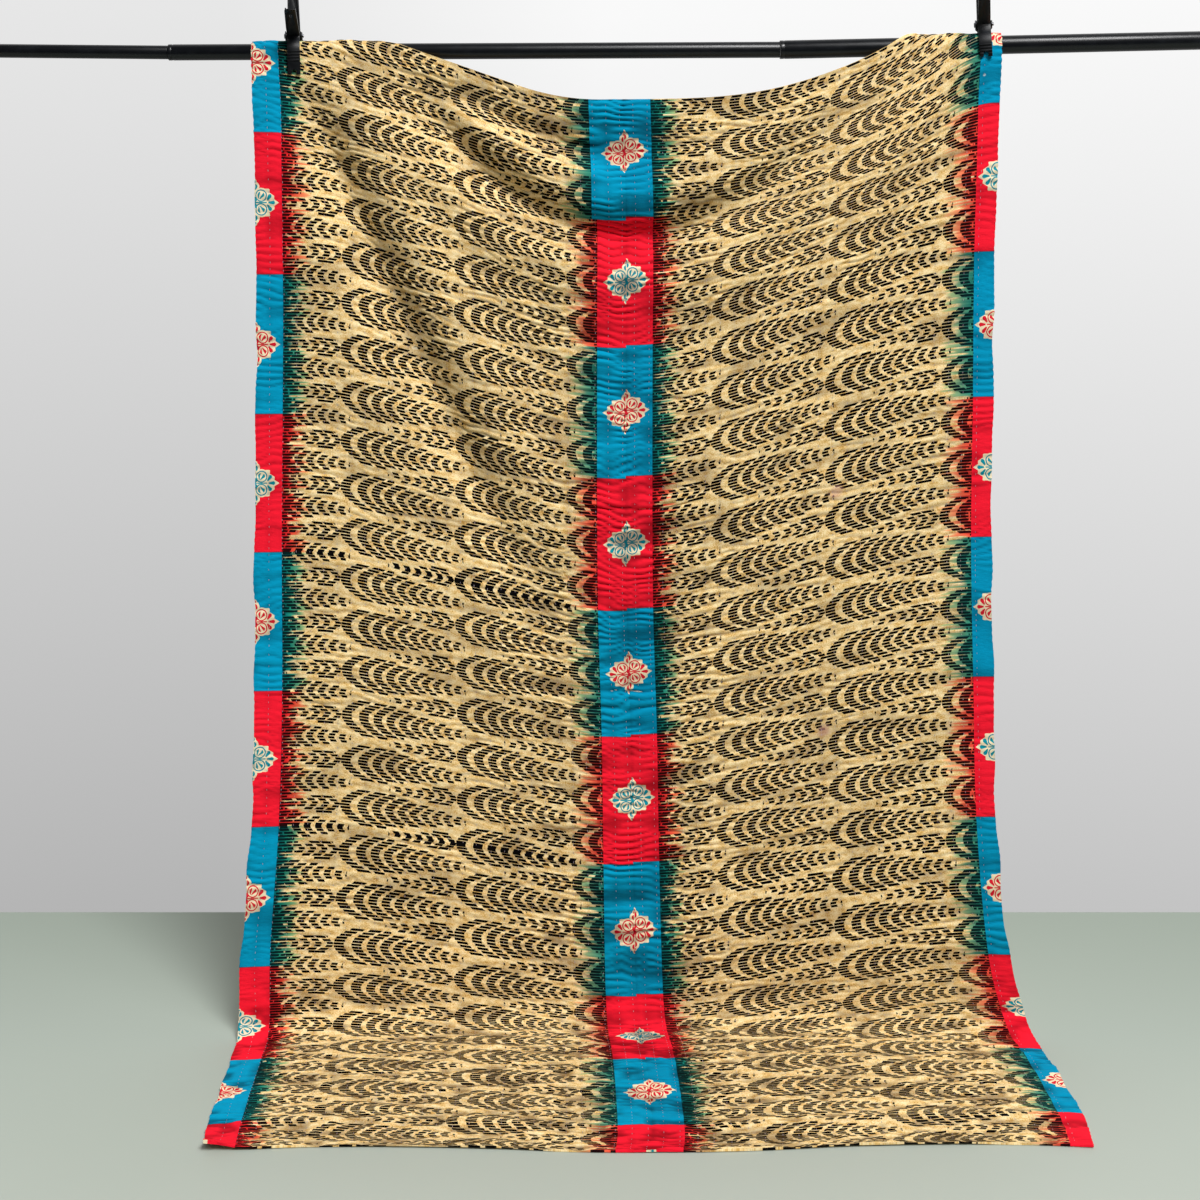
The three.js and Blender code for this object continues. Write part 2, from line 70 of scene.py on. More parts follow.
Array = np.ndarray
Colour = tuple[float, float, float]
Span = tuple[float, float]
Stops = tuple[tuple[float, Colour], ...]


class Side(Enum):
    """The two lengths of the quilt, as the viewer sees them."""

    LEFT = "left"
    RIGHT = "right"


class Face(Enum):
    """The two levers of a clamp, and the way each one bows out along Y."""

    FRONT = -1
    BACK = 1


# Numbers


def smooth(value: Array, low: float, high: float) -> Array:
    """A smooth step from 0 at low to 1 at high."""
    t = np.clip((value - low) / (high - low), 0.0, 1.0)
    return t * t * (3.0 - 2.0 * t)


def soft_ramp(value: Array, start: float, end: float, corner: float = 0.15) -> Array:
    """A straight ramp with rounded corners.

    Args:
        value: Where to read the ramp.
        start: Where it leaves 0.
        end: Where it reaches 1.
        corner: Half width of each rounded corner, as a share of the ramp.

    Returns:
        The ramp's heights.
    """
    along = (value - start) / (end - start)
    rise = (along + corner) ** 2 / (4.0 * corner)
    ease = 1.0 - (1.0 + corner - along) ** 2 / (4.0 * corner)
    return np.select(
        [along <= -corner, along < corner, along <= 1.0 - corner, along < 1.0 + corner],
        [0.0, rise, along, ease],
        1.0,
    )


def blend(first: Array, second: Array, share: Array) -> Array:
    """The way from first to second at a share of it."""
    return first + (second - first) * share


def value_noise(seed: int, across: Array, along: Array) -> Array:
    """Smooth random heights over unit cells.

    Args:
        seed: Which set of heights.
        across: Places in cells along one way.
        along: Places in cells along the other way.

    Returns:
        Heights from -1 to 1.
    """
    cells = np.random.default_rng(seed).uniform(-1.0, 1.0, NOISE_CELLS)
    columns, rows = NOISE_CELLS
    across, along = np.broadcast_arrays(across, along)
    column, row = np.floor(across).astype(int), np.floor(along).astype(int)
    fx, fy = smooth(across - column, 0.0, 1.0), smooth(along - row, 0.0, 1.0)

    def corner(right: int, below: int) -> Array:
        """The heights at one corner of each cell."""
        return cells[(column + right) % columns, (row + below) % rows]

    upper = blend(corner(0, 0), corner(1, 0), fx)
    return blend(upper, blend(corner(0, 1), corner(1, 1), fx), fy)


def bent_line(t: Array, start: float, via: float, end: float) -> Array:
    """Places along a line that bends towards a point on its way."""
    return (1 - t) ** 2 * start + 2 * t * (1 - t) * via + t**2 * end


def paint(red: float, green: float, blue: float) -> Colour:
    """A colour given from 0 to 255 as a screen shows it, as linear light."""
    shares = (red / 255.0, green / 255.0, blue / 255.0)
    return tuple(s / 12.92 if s <= 0.04045 else ((s + 0.055) / 1.055) ** 2.4 for s in shares)


# Node sums


@dataclass(eq=False)
class Term:
    """A number that a node works out, written in sums as a plain number is."""

    sketch: "Sketch"
    socket: bpy.types.NodeSocket

    def __add__(self, other: "Term | float") -> "Term":
        """The sum of both."""
        return self.sketch.math("ADD", self, other)

    __radd__ = __add__

    def __sub__(self, other: "Term | float") -> "Term":
        """This less the other."""
        return self.sketch.math("SUBTRACT", self, other)

    def __rsub__(self, other: float) -> "Term":
        """The other less this."""
        return self.sketch.math("SUBTRACT", other, self)

    def __mul__(self, other: "Term | float") -> "Term":
        """The product of both."""
        return self.sketch.math("MULTIPLY", self, other)

    __rmul__ = __mul__

    def __truediv__(self, other: "Term | float") -> "Term":
        """This over the other."""
        return self.sketch.math("DIVIDE", self, other)

    def __lt__(self, other: "Term | float") -> "Term":
        """1 where this is less, else 0."""
        return self.sketch.math("LESS_THAN", self, other)

    def __gt__(self, other: "Term | float") -> "Term":
        """1 where this is more, else 0."""
        return self.sketch.math("GREATER_THAN", self, other)

    def __abs__(self) -> "Term":
        """The size of this."""
        return self.sketch.math("ABSOLUTE", self)

    def floor(self) -> "Term":
        """The whole number below."""
        return self.sketch.math("FLOOR", self)

    def fract(self) -> "Term":
        """What is over the whole number below."""
        return self.sketch.math("FRACT", self)

    def wrap(self, length: float) -> "Term":
        """What is left over whole lengths, never negative."""
        return self.sketch.math("FLOORED_MODULO", self, length)

    def root(self) -> "Term":
        """The square root."""
        return self.sketch.math("SQRT", self)

    def step(self, low: "Term | float", high: "Term | float") -> "Term":
        """A smooth step from 0 at low to 1 at high."""
        node = self.sketch.node(MAP_RANGE, {0: self, 1: low, 2: high}, interpolation_type="SMOOTHSTEP")
        return Term(self.sketch, node.outputs["Result"])


class Sketch:
    """A new material, whose nodes are written as sums."""

    def __init__(self, name: str) -> None:
        """Starts an empty material.

        Args:
            name: The material's name.
        """
        self.material = bpy.data.materials.new(name)
        self.material.use_nodes = True
        self.tree = self.material.node_tree
        self.tree.nodes.clear()
        output = self.node("ShaderNodeOutputMaterial")
        self.shader = self.node("ShaderNodeBsdfPrincipled")
        self.tree.links.new(self.shader.outputs["BSDF"], output.inputs["Surface"])

    def node(self, kind: str, inputs: dict | None = None, **settings: object) -> bpy.types.Node:
        """Adds a node and feeds it.

        Args:
            kind: The node's type.
            inputs: What to feed, by the sockets' names or numbers.
            settings: Its options.

        Returns:
            The node.
        """
        node = self.tree.nodes.new(kind)
        for name, value in settings.items():
            setattr(node, name, value)
        for key, value in (inputs or {}).items():
            self.join(value, node.inputs[key])
        return node

    def join(self, value: object, socket: bpy.types.NodeSocket) -> None:
        """Feeds a socket.

        Args:
            value: A term, a socket, a number or a colour.
            socket: The socket to feed.
        """
        if isinstance(value, Term):
            value = value.socket
        if isinstance(value, bpy.types.NodeSocket):
            self.tree.links.new(value, socket)
        elif isinstance(value, tuple):
            socket.default_value = (*value, 1.0)
        else:
            socket.default_value = value

    def math(self, operation: str, *values: Term | float) -> Term:
        """One sum of up to three numbers."""
        node = self.node("ShaderNodeMath", dict(enumerate(values)), operation=operation)
        return Term(self, node.outputs["Value"])

    def chain(self, operation: str, first: Term, *others: Term | float) -> Term:
        """A sum over several numbers, two at a time.

        Args:
            operation: The sum's name.
            first: The first number.
            others: The numbers that follow.

        Returns:
            The outcome.
        """
        for other in others:
            first = self.math(operation, first, other)
        return first

    def least(self, first: Term, *others: Term | float) -> Term:
        """The smallest of several."""
        return self.chain("MINIMUM", first, *others)

    def most(self, first: Term, *others: Term | float) -> Term:
        """The largest of several."""
        return self.chain("MAXIMUM", first, *others)

    def every(self, first: Term, *others: Term) -> Term:
        """The product of several, so 1 only where all are."""
        return self.chain("MULTIPLY", first, *others)

    def parts(self, socket: bpy.types.NodeSocket) -> list[Term]:
        """A vector's three numbers."""
        return [Term(self, output) for output in self.node(SEPARATE, {0: socket}).outputs]

    def place(self) -> bpy.types.NodeSocket:
        """The place on the object, in metres."""
        return self.node("ShaderNodeTexCoord").outputs["Object"]

    def vector(self, x: Term | float, y: Term | float, z: Term | float = 0.0) -> bpy.types.NodeSocket:
        """A vector of three numbers."""
        return self.node("ShaderNodeCombineXYZ", {0: x, 1: y, 2: z}).outputs[0]

    def noise(self, place: bpy.types.NodeSocket, scale: float, detail: float = 2.0) -> Term:
        """Smooth noise around 0.5, in cells to the metre, with finer layers."""
        inputs = {"Vector": place, "Scale": scale, "Detail": detail}
        return Term(self, self.node("ShaderNodeTexNoise", inputs).outputs[0])

    def grain(self, place: tuple[Term, ...], cells: tuple[float, ...], detail: float) -> Term:
        """Noise with its own count of cells to the metre along each axis."""
        return self.noise(self.vector(*(along * cell for along, cell in zip(place, cells))), 1.0, detail)

    def dice(self, x: Term, y: Term) -> list[Term]:
        """Three random numbers from 0 to 1 for a pair of whole numbers."""
        node = self.node("ShaderNodeTexWhiteNoise", {"Vector": self.vector(x, y)}, noise_dimensions="2D")
        return self.parts(node.outputs["Color"])

    def mix(
        self, share: Term | float, first: object, second: object, way: str = "MIX",
    ) -> bpy.types.NodeSocket:
        """Two colours mixed, with a share of the second."""
        inputs = {0: share, 6: first, 7: second}
        return self.node("ShaderNodeMix", inputs, data_type="RGBA", blend_type=way).outputs[2]

    def ramp(self, share: Term, *stops: tuple[float, Colour]) -> bpy.types.NodeSocket:
        """Reads a colour from a ramp.

        Args:
            share: Where to read it, from 0 to 1.
            stops: The ramp's places and colours.

        Returns:
            The colour.
        """
        node = self.node("ShaderNodeValToRGB")
        self.join(share, node.inputs["Fac"])
        elements = node.color_ramp.elements
        while len(elements) < len(stops):
            elements.new(1.0)
        for element, (place, colour) in zip(elements, stops):
            element.position = place
            element.color = (*colour, 1.0)
        return node.outputs["Color"]

    def bump(self, height: Term, strength: float, distance: float) -> None:
        """Roughens the surface by a relief, given its strength and its depth in metres."""
        node = self.node("ShaderNodeBump", {"Height": height, "Strength": strength, "Distance": distance})
        self.join(node.outputs["Normal"], self.shader.inputs["Normal"])

    def finish(self, colour: object, **values: object) -> bpy.types.Material:
        """Sets the shader's inputs.

        Args:
            colour: Its base colour.
            values: Its other inputs.

        Returns:
            The finished material.
        """
        self.join(colour, self.shader.inputs["Base Color"])
        for name, value in values.items():
            self.join(value, self.shader.inputs[name.replace("_", " ").title().replace("Ior", "IOR")])
        return self.material


def distance(a: Term, b: Term) -> Term:
    """How far a place is from the middle."""
    return (a * a + b * b).root()


def ellipse(a: Term, b: Term, squares: Span) -> Term:
    """Less than 1 inside an ellipse, given the squares of its half sides."""
    return a * a * (1.0 / squares[0]) + b * b * (1.0 / squares[1])


# Finishes


@dataclass(frozen=True)
class Spot:
    """A stain or flaw on the flat cloth, in millimetres."""

    across: float
    down: float
    radius: float
    colour: Colour
    strength: float
    core: float = 0.3


@dataclass(frozen=True)
class PrintLayout:
    """Places of the print on a flat length, in millimetres across from its left edge and down from its hem.

    A dash's half height and its spread are shares of a printed line.
    """

    border: float = 48.0
    first_head: float = 154.0
    head_pitch: float = 206.0
    tail_end: float = 17.0
    field_end: float = 623.0
    repeat: float = 676.0
    block: float = 240.0
    block_edge: float = 1.0
    last_block: float = 9.0
    top_cut: float = 20.0
    row: float = 80.0
    line: float = 80.0 / 15.0
    line_offset: float = 0.25
    line_slip: float = 1.4
    lines_per_block: float = 45.0
    dash_half: float = 0.375
    dash_spread: float = 0.04
    heavy_half: float = 4.2


@dataclass(frozen=True)
class PlumeShape:
    """Measures of a long plume's nested crescents, in millimetres along it and off its axis."""

    tip: float = -0.3
    half_width: float = 30.9
    tail_width: float = 45.5
    tail_taper: float = -0.18
    round_bow: float = 0.036
    sharp_bow: float = 0.26
    sharp_power: float = 1.5
    sharpening: Span = (50.0, 140.0)
    first_start: float = 5.0
    later_start: float = 2.5
    settling: Span = (20.0, 60.0)
    rounds: float = 0.0392
    rounds_growth: float = 0.0000365
    first_ink: float = 0.49
    later_ink: float = 0.16
    inking: Span = (15.0, 45.0)
    tail_loss: float = 0.06
    thinning: Span = (120.0, 175.0)
    edge_ink: float = 0.00022


@dataclass(frozen=True)
class BudShape:
    """Measures of a short plume's chevrons, in millimetres to the right of a head and off its axis."""

    start: float = 86.0
    point: float = 206.5
    pitch: float = 19.6
    bow: float = 0.33
    bow_power: float = 1.5
    half_width: float = 5.6
    first_swell: float = 3.0
    first_swelling: Span = (88.0, 140.0)
    last_swell: float = 8.2
    last_swelling: Span = (135.0, 178.0)
    narrowed: float = 0.75
    narrowing: Span = (184.0, 214.0)
    ink: float = 0.54
    edge_ink: float = 0.0026


@dataclass(frozen=True)
class FringeShape:
    """Measures of the dyed hairs and broken ink lines that run out of the borders, in millimetres."""

    left_tint: float = 50.0
    right_tint: float = 60.0
    left_hair: float = 4.0
    left_spread: float = 46.0
    left_soft: float = 6.0
    right_hair: float = 2.0
    right_spread: float = 56.0
    right_soft: float = 7.0
    hair_seed: float = 7.0
    combing: Span = (0.15, 0.6)
    combed: float = 0.7
    arched: float = 0.8
    left_line: float = 5.0
    left_line_spread: float = 32.0
    right_line_spread: float = 18.0
    line_break: float = 13.0
    line_share: float = 0.8
    line_half: float = 0.32


@dataclass(frozen=True)
class LozengeShape:
    """Measures of a lozenge flower, in millimetres aside of its upright axis and up from its middle."""

    last_lower: float = 7.0
    side: float = 38.2
    side_slope: float = 0.77
    side_top: float = 23.0
    tooth: float = 11.0
    tooth_depth: float = 4.6
    lobe: Span = (11.0, 11.5)
    lobe_radius: float = 13.0
    bud_up: float = 26.5
    bud_squares: Span = (64.0, 70.0)
    tip_up: float = 35.0
    tip_squares: Span = (10.0, 14.0)
    petal_root: Span = (7.0, 4.0)
    petal_radius: float = 6.4
    petals: float = 8.0
    petal_gap: float = -0.1
    ring_radius: float = 9.4
    ring_half: float = 1.0
    ring_inset: float = 1.4
    heart_half: float = 3.4
    heart_up: float = 5.0
    heart_reach: float = 4.2
    heart_slope: float = 0.8
    leaf_root: float = 19.0
    leaves: float = 6.5
    leaf_gap: float = -0.05
    leaf_wave: float = 2.5
    leaf_reach: float = 14.0
    leaf_start: float = 4.5
    leaf_inset: float = 21.0
    bud_stroke_up: float = 26.0
    bud_stroke_squares: Span = (20.0, 26.0)
    bud_stroke_inset: float = 0.7
    tip_stroke_half: float = 1.5
    tip_stroke_up: float = 34.5
    tip_stroke_reach: float = 2.0
    middle_line_half: float = 1.0


@dataclass(frozen=True)
class Weave:
    """The cotton's threads and noises, in cells to the metre across and down."""

    threads: Span = (5600.0, 4900.0)
    thread_relief: float = 0.12
    crimps: Span = (130.0, 330.0)
    streaks: Span = (30.0, 110.0)
    clouds: Span = (70.0, 125.0)
    flecks: Span = (420.0, 560.0)
    slubs: Span = (60.0, 800.0)
    mottling: Span = (0.58, 1.17)
    shading: Span = (0.3, 0.75)
    shade: float = 0.22


class PrintPlace(NamedTuple):
    """A place on the print: millimetres across the length and down its block, and which block it is."""

    u: Term
    w: Term
    block: Term
    red: Term


class Margins(NamedTuple):
    """How far a place in the field is from both borders, in millimetres, and how near as shares."""

    from_left: Term
    from_right: Term
    near_left: Term
    near_right: Term
    near: Term


@dataclass(frozen=True)
class CottonPrint:
    """Printed cotton: blocks of two colours along both edges, and combed plumes over a mottled field."""

    name: str
    blue: Colour
    red: Colour
    shift: float = 0.0
    top_spread: float = 0.0
    spots: tuple[Spot, ...] = ()
    heavy_edges: tuple[float, ...] = ()
    faded: float = 0.0
    reverse_fade: float = 0.76
    layout: PrintLayout = PrintLayout()
    plumes: PlumeShape = PlumeShape()
    buds: BudShape = BudShape()
    fringes: FringeShape = FringeShape()
    lozenge: LozengeShape = LozengeShape()
    weave: Weave = Weave()

    cream: Colour = paint(250, 230, 182)
    gold: Colour = paint(226, 186, 114)
    ochre: Colour = paint(196, 148, 74)
    ink: Colour = paint(8, 6, 6)
    teal_ink: Colour = paint(3, 34, 36)
    red_ink: Colour = paint(40, 6, 9)
    motif_cream: Colour = paint(238, 222, 186)
    motif_red: Colour = paint(214, 32, 50)
    motif_teal: Colour = paint(18, 140, 156)
    block_edge: Colour = paint(30, 20, 26)
    deep_teal: Colour = paint(8, 92, 88)
    deep_red: Colour = paint(168, 22, 28)
    arch_pale_teal: Colour = paint(176, 190, 128)
    arch_teal: Colour = paint(52, 138, 116)
    arch_pale_red: Colour = paint(246, 180, 122)
    arch_red: Colour = paint(236, 76, 58)
    # Painted shade: the colour that darkens the quilting's troughs by a multiply.
    trough_shade: Colour = (0.36, 0.33, 0.33)
    undyed: Colour = paint(222, 208, 176)
    teal_hairs: Stops = (
        (0.0, paint(160, 184, 122)),
        (0.4, paint(92, 158, 118)),
        (0.8, paint(30, 132, 112)),
        (1.0, paint(3, 100, 102)),
    )
    red_hairs: Stops = (
        (0.0, paint(244, 146, 96)),
        (0.4, paint(240, 104, 70)),
        (0.8, paint(230, 56, 48)),
        (1.0, paint(212, 26, 36)),
    )

    def material(self) -> bpy.types.Material:
        """Draws the whole print, with painted shade darkening the quilting's troughs.

        Returns:
            The material of one face of a length.
        """
        sk = Sketch(self.name)
        lay, weave = self.layout, self.weave
        x, y, _ = sk.parts(sk.node("ShaderNodeUVMap", uv_map=FLAT_MAP).outputs["UV"])
        u, v = x * (1.0 / MM), y * (1.0 / MM) + self.shift
        block = ((v + lay.top_cut) / lay.block).floor()
        w = v + lay.top_cut - block * lay.block
        at = PrintPlace(u, w, block, red=block.wrap(2.0))
        streak = sk.grain((x, y), weave.streaks, 3.0)
        field_colour = self.field_colour(sk, at, self.mottled(sk, x, y, streak))
        border_colour = self.border_colour(sk, at, streak)
        inside = sk.every(u > lay.border, u < self.field_end(block))
        colour = sk.mix(inside, border_colour, field_colour)
        for spot in self.spots:
            away = distance(u - spot.across, v - spot.down) + (streak - 0.5) * spot.radius
            mark = (1.0 - away.step(spot.radius * spot.core, spot.radius)) * spot.strength
            colour = sk.mix(mark, colour, spot.colour)
        if self.faded:
            slub = sk.grain((x, y), weave.slubs, 2.0)
            undyed = sk.mix(slub * 0.5, self.undyed, scaled(self.undyed, 0.7))
            colour = sk.mix(self.faded, colour, undyed)
        # Painted shade: the quilting's troughs darken the print by a multiply, read from a point attribute
        # worked out from the relief.
        hollow = Term(sk, sk.node("ShaderNodeAttribute", attribute_name=TROUGH_SHADING).outputs["Fac"])
        colour = sk.mix(hollow, colour, self.trough_shade, "MULTIPLY")
        thread = sk.math("SINE", x * weave.threads[0]) * sk.math("SINE", y * weave.threads[1])
        crimp = sk.grain((x, y), weave.crimps, 1.0)
        sk.bump(thread * weave.thread_relief + crimp, strength=0.4, distance=0.0016)
        return sk.finish(colour, roughness=0.92, specular_ior_level=0.06)

    def reverse(self) -> bpy.types.Material:
        """The same cloth seen from behind, with its print showing through."""
        return replace(self, name=f"{self.name}_reverse", faded=self.reverse_fade).material()

    def field_end(self, block: Term) -> Term:
        """Where the field meets its right border, which is wider in the first block."""
        return self.layout.field_end - self.top_spread * (block < 0.5)

    def mottled(self, sk: Sketch, x: Term, y: Term, streak: Term) -> bpy.types.NodeSocket:
        """The field's ground, cream clouded with gold.

        Args:
            sk: The material.
            x: Flat place across, in metres.
            y: Flat place down, in metres.
            streak: Noise drawn out along the weft.

        Returns:
            The ground's colour.
        """
        clouds = sk.grain((x, y), self.weave.clouds, 2.0)
        flecks = sk.grain((x, y), self.weave.flecks, 1.0)
        share = (clouds * 0.7 + streak * 0.3 + flecks * 0.75).step(*self.weave.mottling)
        pale = blend_colours(self.cream, self.gold, 0.5)
        return sk.ramp(share, (0.0, self.cream), (0.45, pale), (0.75, self.gold), (1.0, self.ochre))

    def field_colour(
        self, sk: Sketch, at: PrintPlace, ground: bpy.types.NodeSocket,
    ) -> bpy.types.NodeSocket:
        """The plumed field between the two borders.

        Args:
            sk: The material.
            at: The place on the print.
            ground: The ground's colour.

        Returns:
            The field's colour.
        """
        lay, fringes = self.layout, self.fringes
        u, w, block, red = at
        half_row = lay.row / 2.0
        column = ((u - lay.first_head) / lay.head_pitch).floor()
        along = u - lay.first_head - column * lay.head_pitch
        line = w / lay.line + lay.line_offset
        number = line.floor()
        in_line = abs(line - number - 0.5)
        centre = (number + (0.5 - lay.line_offset)) * lay.line
        chance = sk.dice(number + block * lay.lines_per_block, column)
        half_drop = column.wrap(2.0) * half_row
        lane = abs((centre + half_drop).wrap(lay.row) - half_row)
        off_axis = abs(((centre + w) * 0.5 + half_drop).wrap(lay.row) - half_row)
        far_lane, far_axis = half_row - lane, half_row - off_axis
        loose = along + (chance[0] - 0.5) * lay.line_slip
        plume = self.plume(sk, loose, off_axis, lane)
        tail = self.plume(sk, along + lay.head_pitch, far_axis, far_lane) * (along < lay.tail_end)
        bands = sk.most(plume, tail, self.bud(sk, loose, far_axis, far_lane))
        dash = in_line < chance[2] * lay.dash_spread + lay.dash_half
        for edge in self.heavy_edges:
            dash = sk.most(dash, self.heavy_row(sk, w, block, edge))
        from_left, from_right = u - lay.border, self.field_end(block) - u
        near_left = 1.0 - from_left.step(0.0, fringes.left_tint)
        near_right = 1.0 - from_right.step(0.0, fringes.right_tint)
        margins = Margins(from_left, from_right, near_left, near_right, sk.most(near_left, near_right))
        dyed = self.dyed_ground(sk, at, ground, bands, margins)
        ink = sk.mix(margins.near, self.ink, sk.mix(red, self.teal_ink, self.red_ink))
        lines = self.fringe_lines(sk, chance, margins) * (in_line < fringes.line_half)
        return sk.mix(sk.most(bands * dash, lines), dyed, ink)

    def dyed_ground(
        self, sk: Sketch, at: PrintPlace, ground: bpy.types.NodeSocket, bands: Term, margins: Margins,
    ) -> bpy.types.NodeSocket:
        """The field's ground with the borders' dye running into it in hairs.

        Args:
            sk: The material.
            at: The place on the print.
            ground: The plain ground's colour.
            bands: 1 in a crescent or chevron.
            margins: How far the borders are.

        Returns:
            The dyed ground's colour.
        """
        fringes = self.fringes
        luck = sk.dice((at.w / (self.layout.line * 0.5)).floor(), at.block + fringes.hair_seed)
        teal, coral = (sk.ramp(margins.near_left, *hairs) for hairs in (self.teal_hairs, self.red_hairs))
        arch_teal = sk.mix(margins.near_right, self.arch_pale_teal, self.arch_teal)
        arch_red = sk.mix(margins.near_right, self.arch_pale_red, self.arch_red)
        left = luck[0] * fringes.left_spread + fringes.left_hair - margins.from_left
        right = luck[1] * fringes.right_spread + fringes.right_hair - margins.from_right
        dyed = sk.mix(left.step(-fringes.left_soft, fringes.left_soft), ground, sk.mix(at.red, teal, coral))
        arches = sk.mix(at.red, arch_teal, arch_red)
        dyed = sk.mix(right.step(-fringes.right_soft, fringes.right_soft), dyed, arches)
        deep = sk.mix(at.red, self.deep_teal, self.deep_red)
        combed = (1.0 - luck[2].step(*fringes.combing)) * margins.near * fringes.combed
        return sk.mix(sk.most(combed, margins.near_right * bands * fringes.arched), dyed, deep)

    def fringe_lines(self, sk: Sketch, chance: list[Term], margins: Margins) -> Term:
        """Broken ink lines that run out of both borders into the field.

        Args:
            sk: The material.
            chance: Three random numbers of the printed line.
            margins: How far the borders are.

        Returns:
            1 where a line is inked.
        """
        fringes = self.fringes
        left = margins.from_left < chance[1] * fringes.left_line_spread + fringes.left_line
        right = margins.from_right < chance[1] * fringes.right_line_spread
        run = (margins.from_left + chance[0] * fringes.line_break) / fringes.line_break
        return sk.most(left, right) * (run.fract() < fringes.line_share)

    def plume(self, sk: Sketch, along: Term, off_axis: Term, lane: Term) -> Term:
        """A long plume of nested crescents, open to the right of each head.

        Args:
            sk: The material.
            along: Millimetres to the right of the head.
            off_axis: Millimetres from the plume's axis.
            lane: The same, read in the middle of a printed line.

        Returns:
            1 where a crescent is inked.
        """
        shape = self.plumes
        square = off_axis * off_axis
        round_bow = square * shape.round_bow
        sharp_bow = sk.math("POWER", off_axis, shape.sharp_power) * shape.sharp_bow
        bow = round_bow + (sharp_bow - round_bow) * (along - round_bow).step(*shape.sharpening)
        depth = along - bow
        start = depth.step(*shape.settling) * shape.later_start + shape.first_start
        rounds = sk.most(depth - start, 0.0) * (depth * shape.rounds_growth + shape.rounds)
        reach = sk.least(along * shape.tail_taper + shape.tail_width, shape.half_width)
        gained = depth.step(*shape.inking) * shape.later_ink
        inked = gained - depth.step(*shape.thinning) * shape.tail_loss + shape.first_ink
        return sk.every(depth > shape.tip, lane < reach, rounds.fract() < square * shape.edge_ink + inked)

    def bud(self, sk: Sketch, along: Term, off_axis: Term, lane: Term) -> Term:
        """A short plume of chevrons that swells to the right and points into the next head.

        Args:
            sk: The material.
            along: Millimetres to the right of the head.
            off_axis: Millimetres from the axis half way between two rows.
            lane: The same, read in the middle of a printed line.

        Returns:
            1 where a chevron is inked.
        """
        shape = self.buds
        first = along.step(*shape.first_swelling) * shape.first_swell
        swell = first + along.step(*shape.last_swelling) * shape.last_swell + shape.half_width
        reach = swell * (1.0 - along.step(*shape.narrowing) * shape.narrowed)
        bow = sk.math("POWER", off_axis, shape.bow_power) * shape.bow
        rounds = (shape.point - along - bow) / shape.pitch
        inked = off_axis * off_axis * shape.edge_ink + shape.ink
        return sk.every(lane < reach, along > shape.start, rounds.fract() < inked)

    def heavy_row(self, sk: Sketch, w: Term, block: Term, edge: float) -> Term:
        """1 along an edge between two blocks, where the ink has run together."""
        nearest = block + (w > self.layout.block / 2.0)
        return (abs(nearest - edge) < 0.5) * (sk.least(w, self.layout.block - w) < self.layout.heavy_half)

    def border_colour(self, sk: Sketch, at: PrintPlace, streak: Term) -> bpy.types.NodeSocket:
        """A plain block with half a lozenge on its outer side.

        Args:
            sk: The material.
            at: The place on the print.
            streak: Noise drawn out along the weft.

        Returns:
            The border's colour.
        """
        lay, shape = self.layout, self.lozenge
        u, w, block, red = at
        half = lay.repeat / 2.0
        a = half - abs(u - half)
        b = abs(w - lay.block / 2.0 - (block > lay.last_block - 0.5) * shape.last_lower)
        lobe = distance(a - shape.lobe[0], b - shape.lobe[1])
        tooth = abs((b / shape.tooth).fract() * 2.0 - 1.0)
        sides = (a + b * shape.side_slope < tooth * shape.tooth_depth + shape.side) * (b < shape.side_top)
        bud = ellipse(a, b - shape.bud_up, shape.bud_squares)
        tip = ellipse(a, b - shape.tip_up, shape.tip_squares)
        lozenge = sk.most(lobe < shape.lobe_radius, sides, bud < 1.0, tip < 1.0)
        strokes = self.motif_strokes(sk, a, b, lobe)
        shade = streak.step(*self.weave.shading) * self.weave.shade
        plain_blue = sk.mix(shade, self.blue, scaled(self.blue, 0.72))
        plain_red = sk.mix(shade, self.red, scaled(self.red, 0.78))
        plain = sk.mix(red, plain_blue, plain_red)
        stroke_colour = sk.mix(red, self.motif_red, self.motif_teal)
        edge = sk.least(w, lay.block - w) < lay.block_edge
        plain = sk.mix(edge * 0.55, plain, self.block_edge)
        return sk.mix(lozenge, plain, sk.mix(strokes, self.motif_cream, stroke_colour))

    def motif_strokes(self, sk: Sketch, a: Term, b: Term, lobe: Term) -> Term:
        """The strokes inside a lozenge: four ringed palmettes, side leaves, end buds and a middle line.

        Args:
            sk: The material.
            a: Millimetres from the lozenge's upright axis.
            b: Millimetres above or below its middle.
            lobe: Millimetres from the middle of the nearest palmette.

        Returns:
            1 where a stroke is drawn.
        """
        shape = self.lozenge
        turn = sk.math("ARCTAN2", a - shape.petal_root[0], b - shape.petal_root[1])
        spokes = sk.math("COSINE", turn * shape.petals)
        petals = sk.every(lobe < shape.petal_radius, spokes > shape.petal_gap)
        ring = sk.every(abs(lobe - shape.ring_radius) < shape.ring_half, a > shape.ring_inset)
        heart = sk.every(
            a < shape.heart_half, abs(b - shape.heart_up) < shape.heart_reach, a * shape.heart_slope < b,
        )
        spread = distance(a - shape.leaf_root, b)
        fan = sk.math("COSINE", sk.math("ARCTAN2", b, a - shape.leaf_root) * shape.leaves)
        leaf = sk.every(
            fan > shape.leaf_gap, spread < fan * shape.leaf_wave + shape.leaf_reach,
            spread > shape.leaf_start, a > shape.leaf_inset,
        )
        bud = ellipse(a, b - shape.bud_stroke_up, shape.bud_stroke_squares)
        bud = sk.every(bud < 1.0, a > shape.bud_stroke_inset)
        tip = sk.every(a < shape.tip_stroke_half, abs(b - shape.tip_stroke_up) < shape.tip_stroke_reach)
        line = sk.every(b < shape.middle_line_half, a < shape.leaf_inset)
        return sk.most(petals, ring, heart, leaf, bud, tip, line)


def scaled(colour: Colour, share: float) -> Colour:
    """A colour made darker or lighter."""
    return tuple(part * share for part in colour)


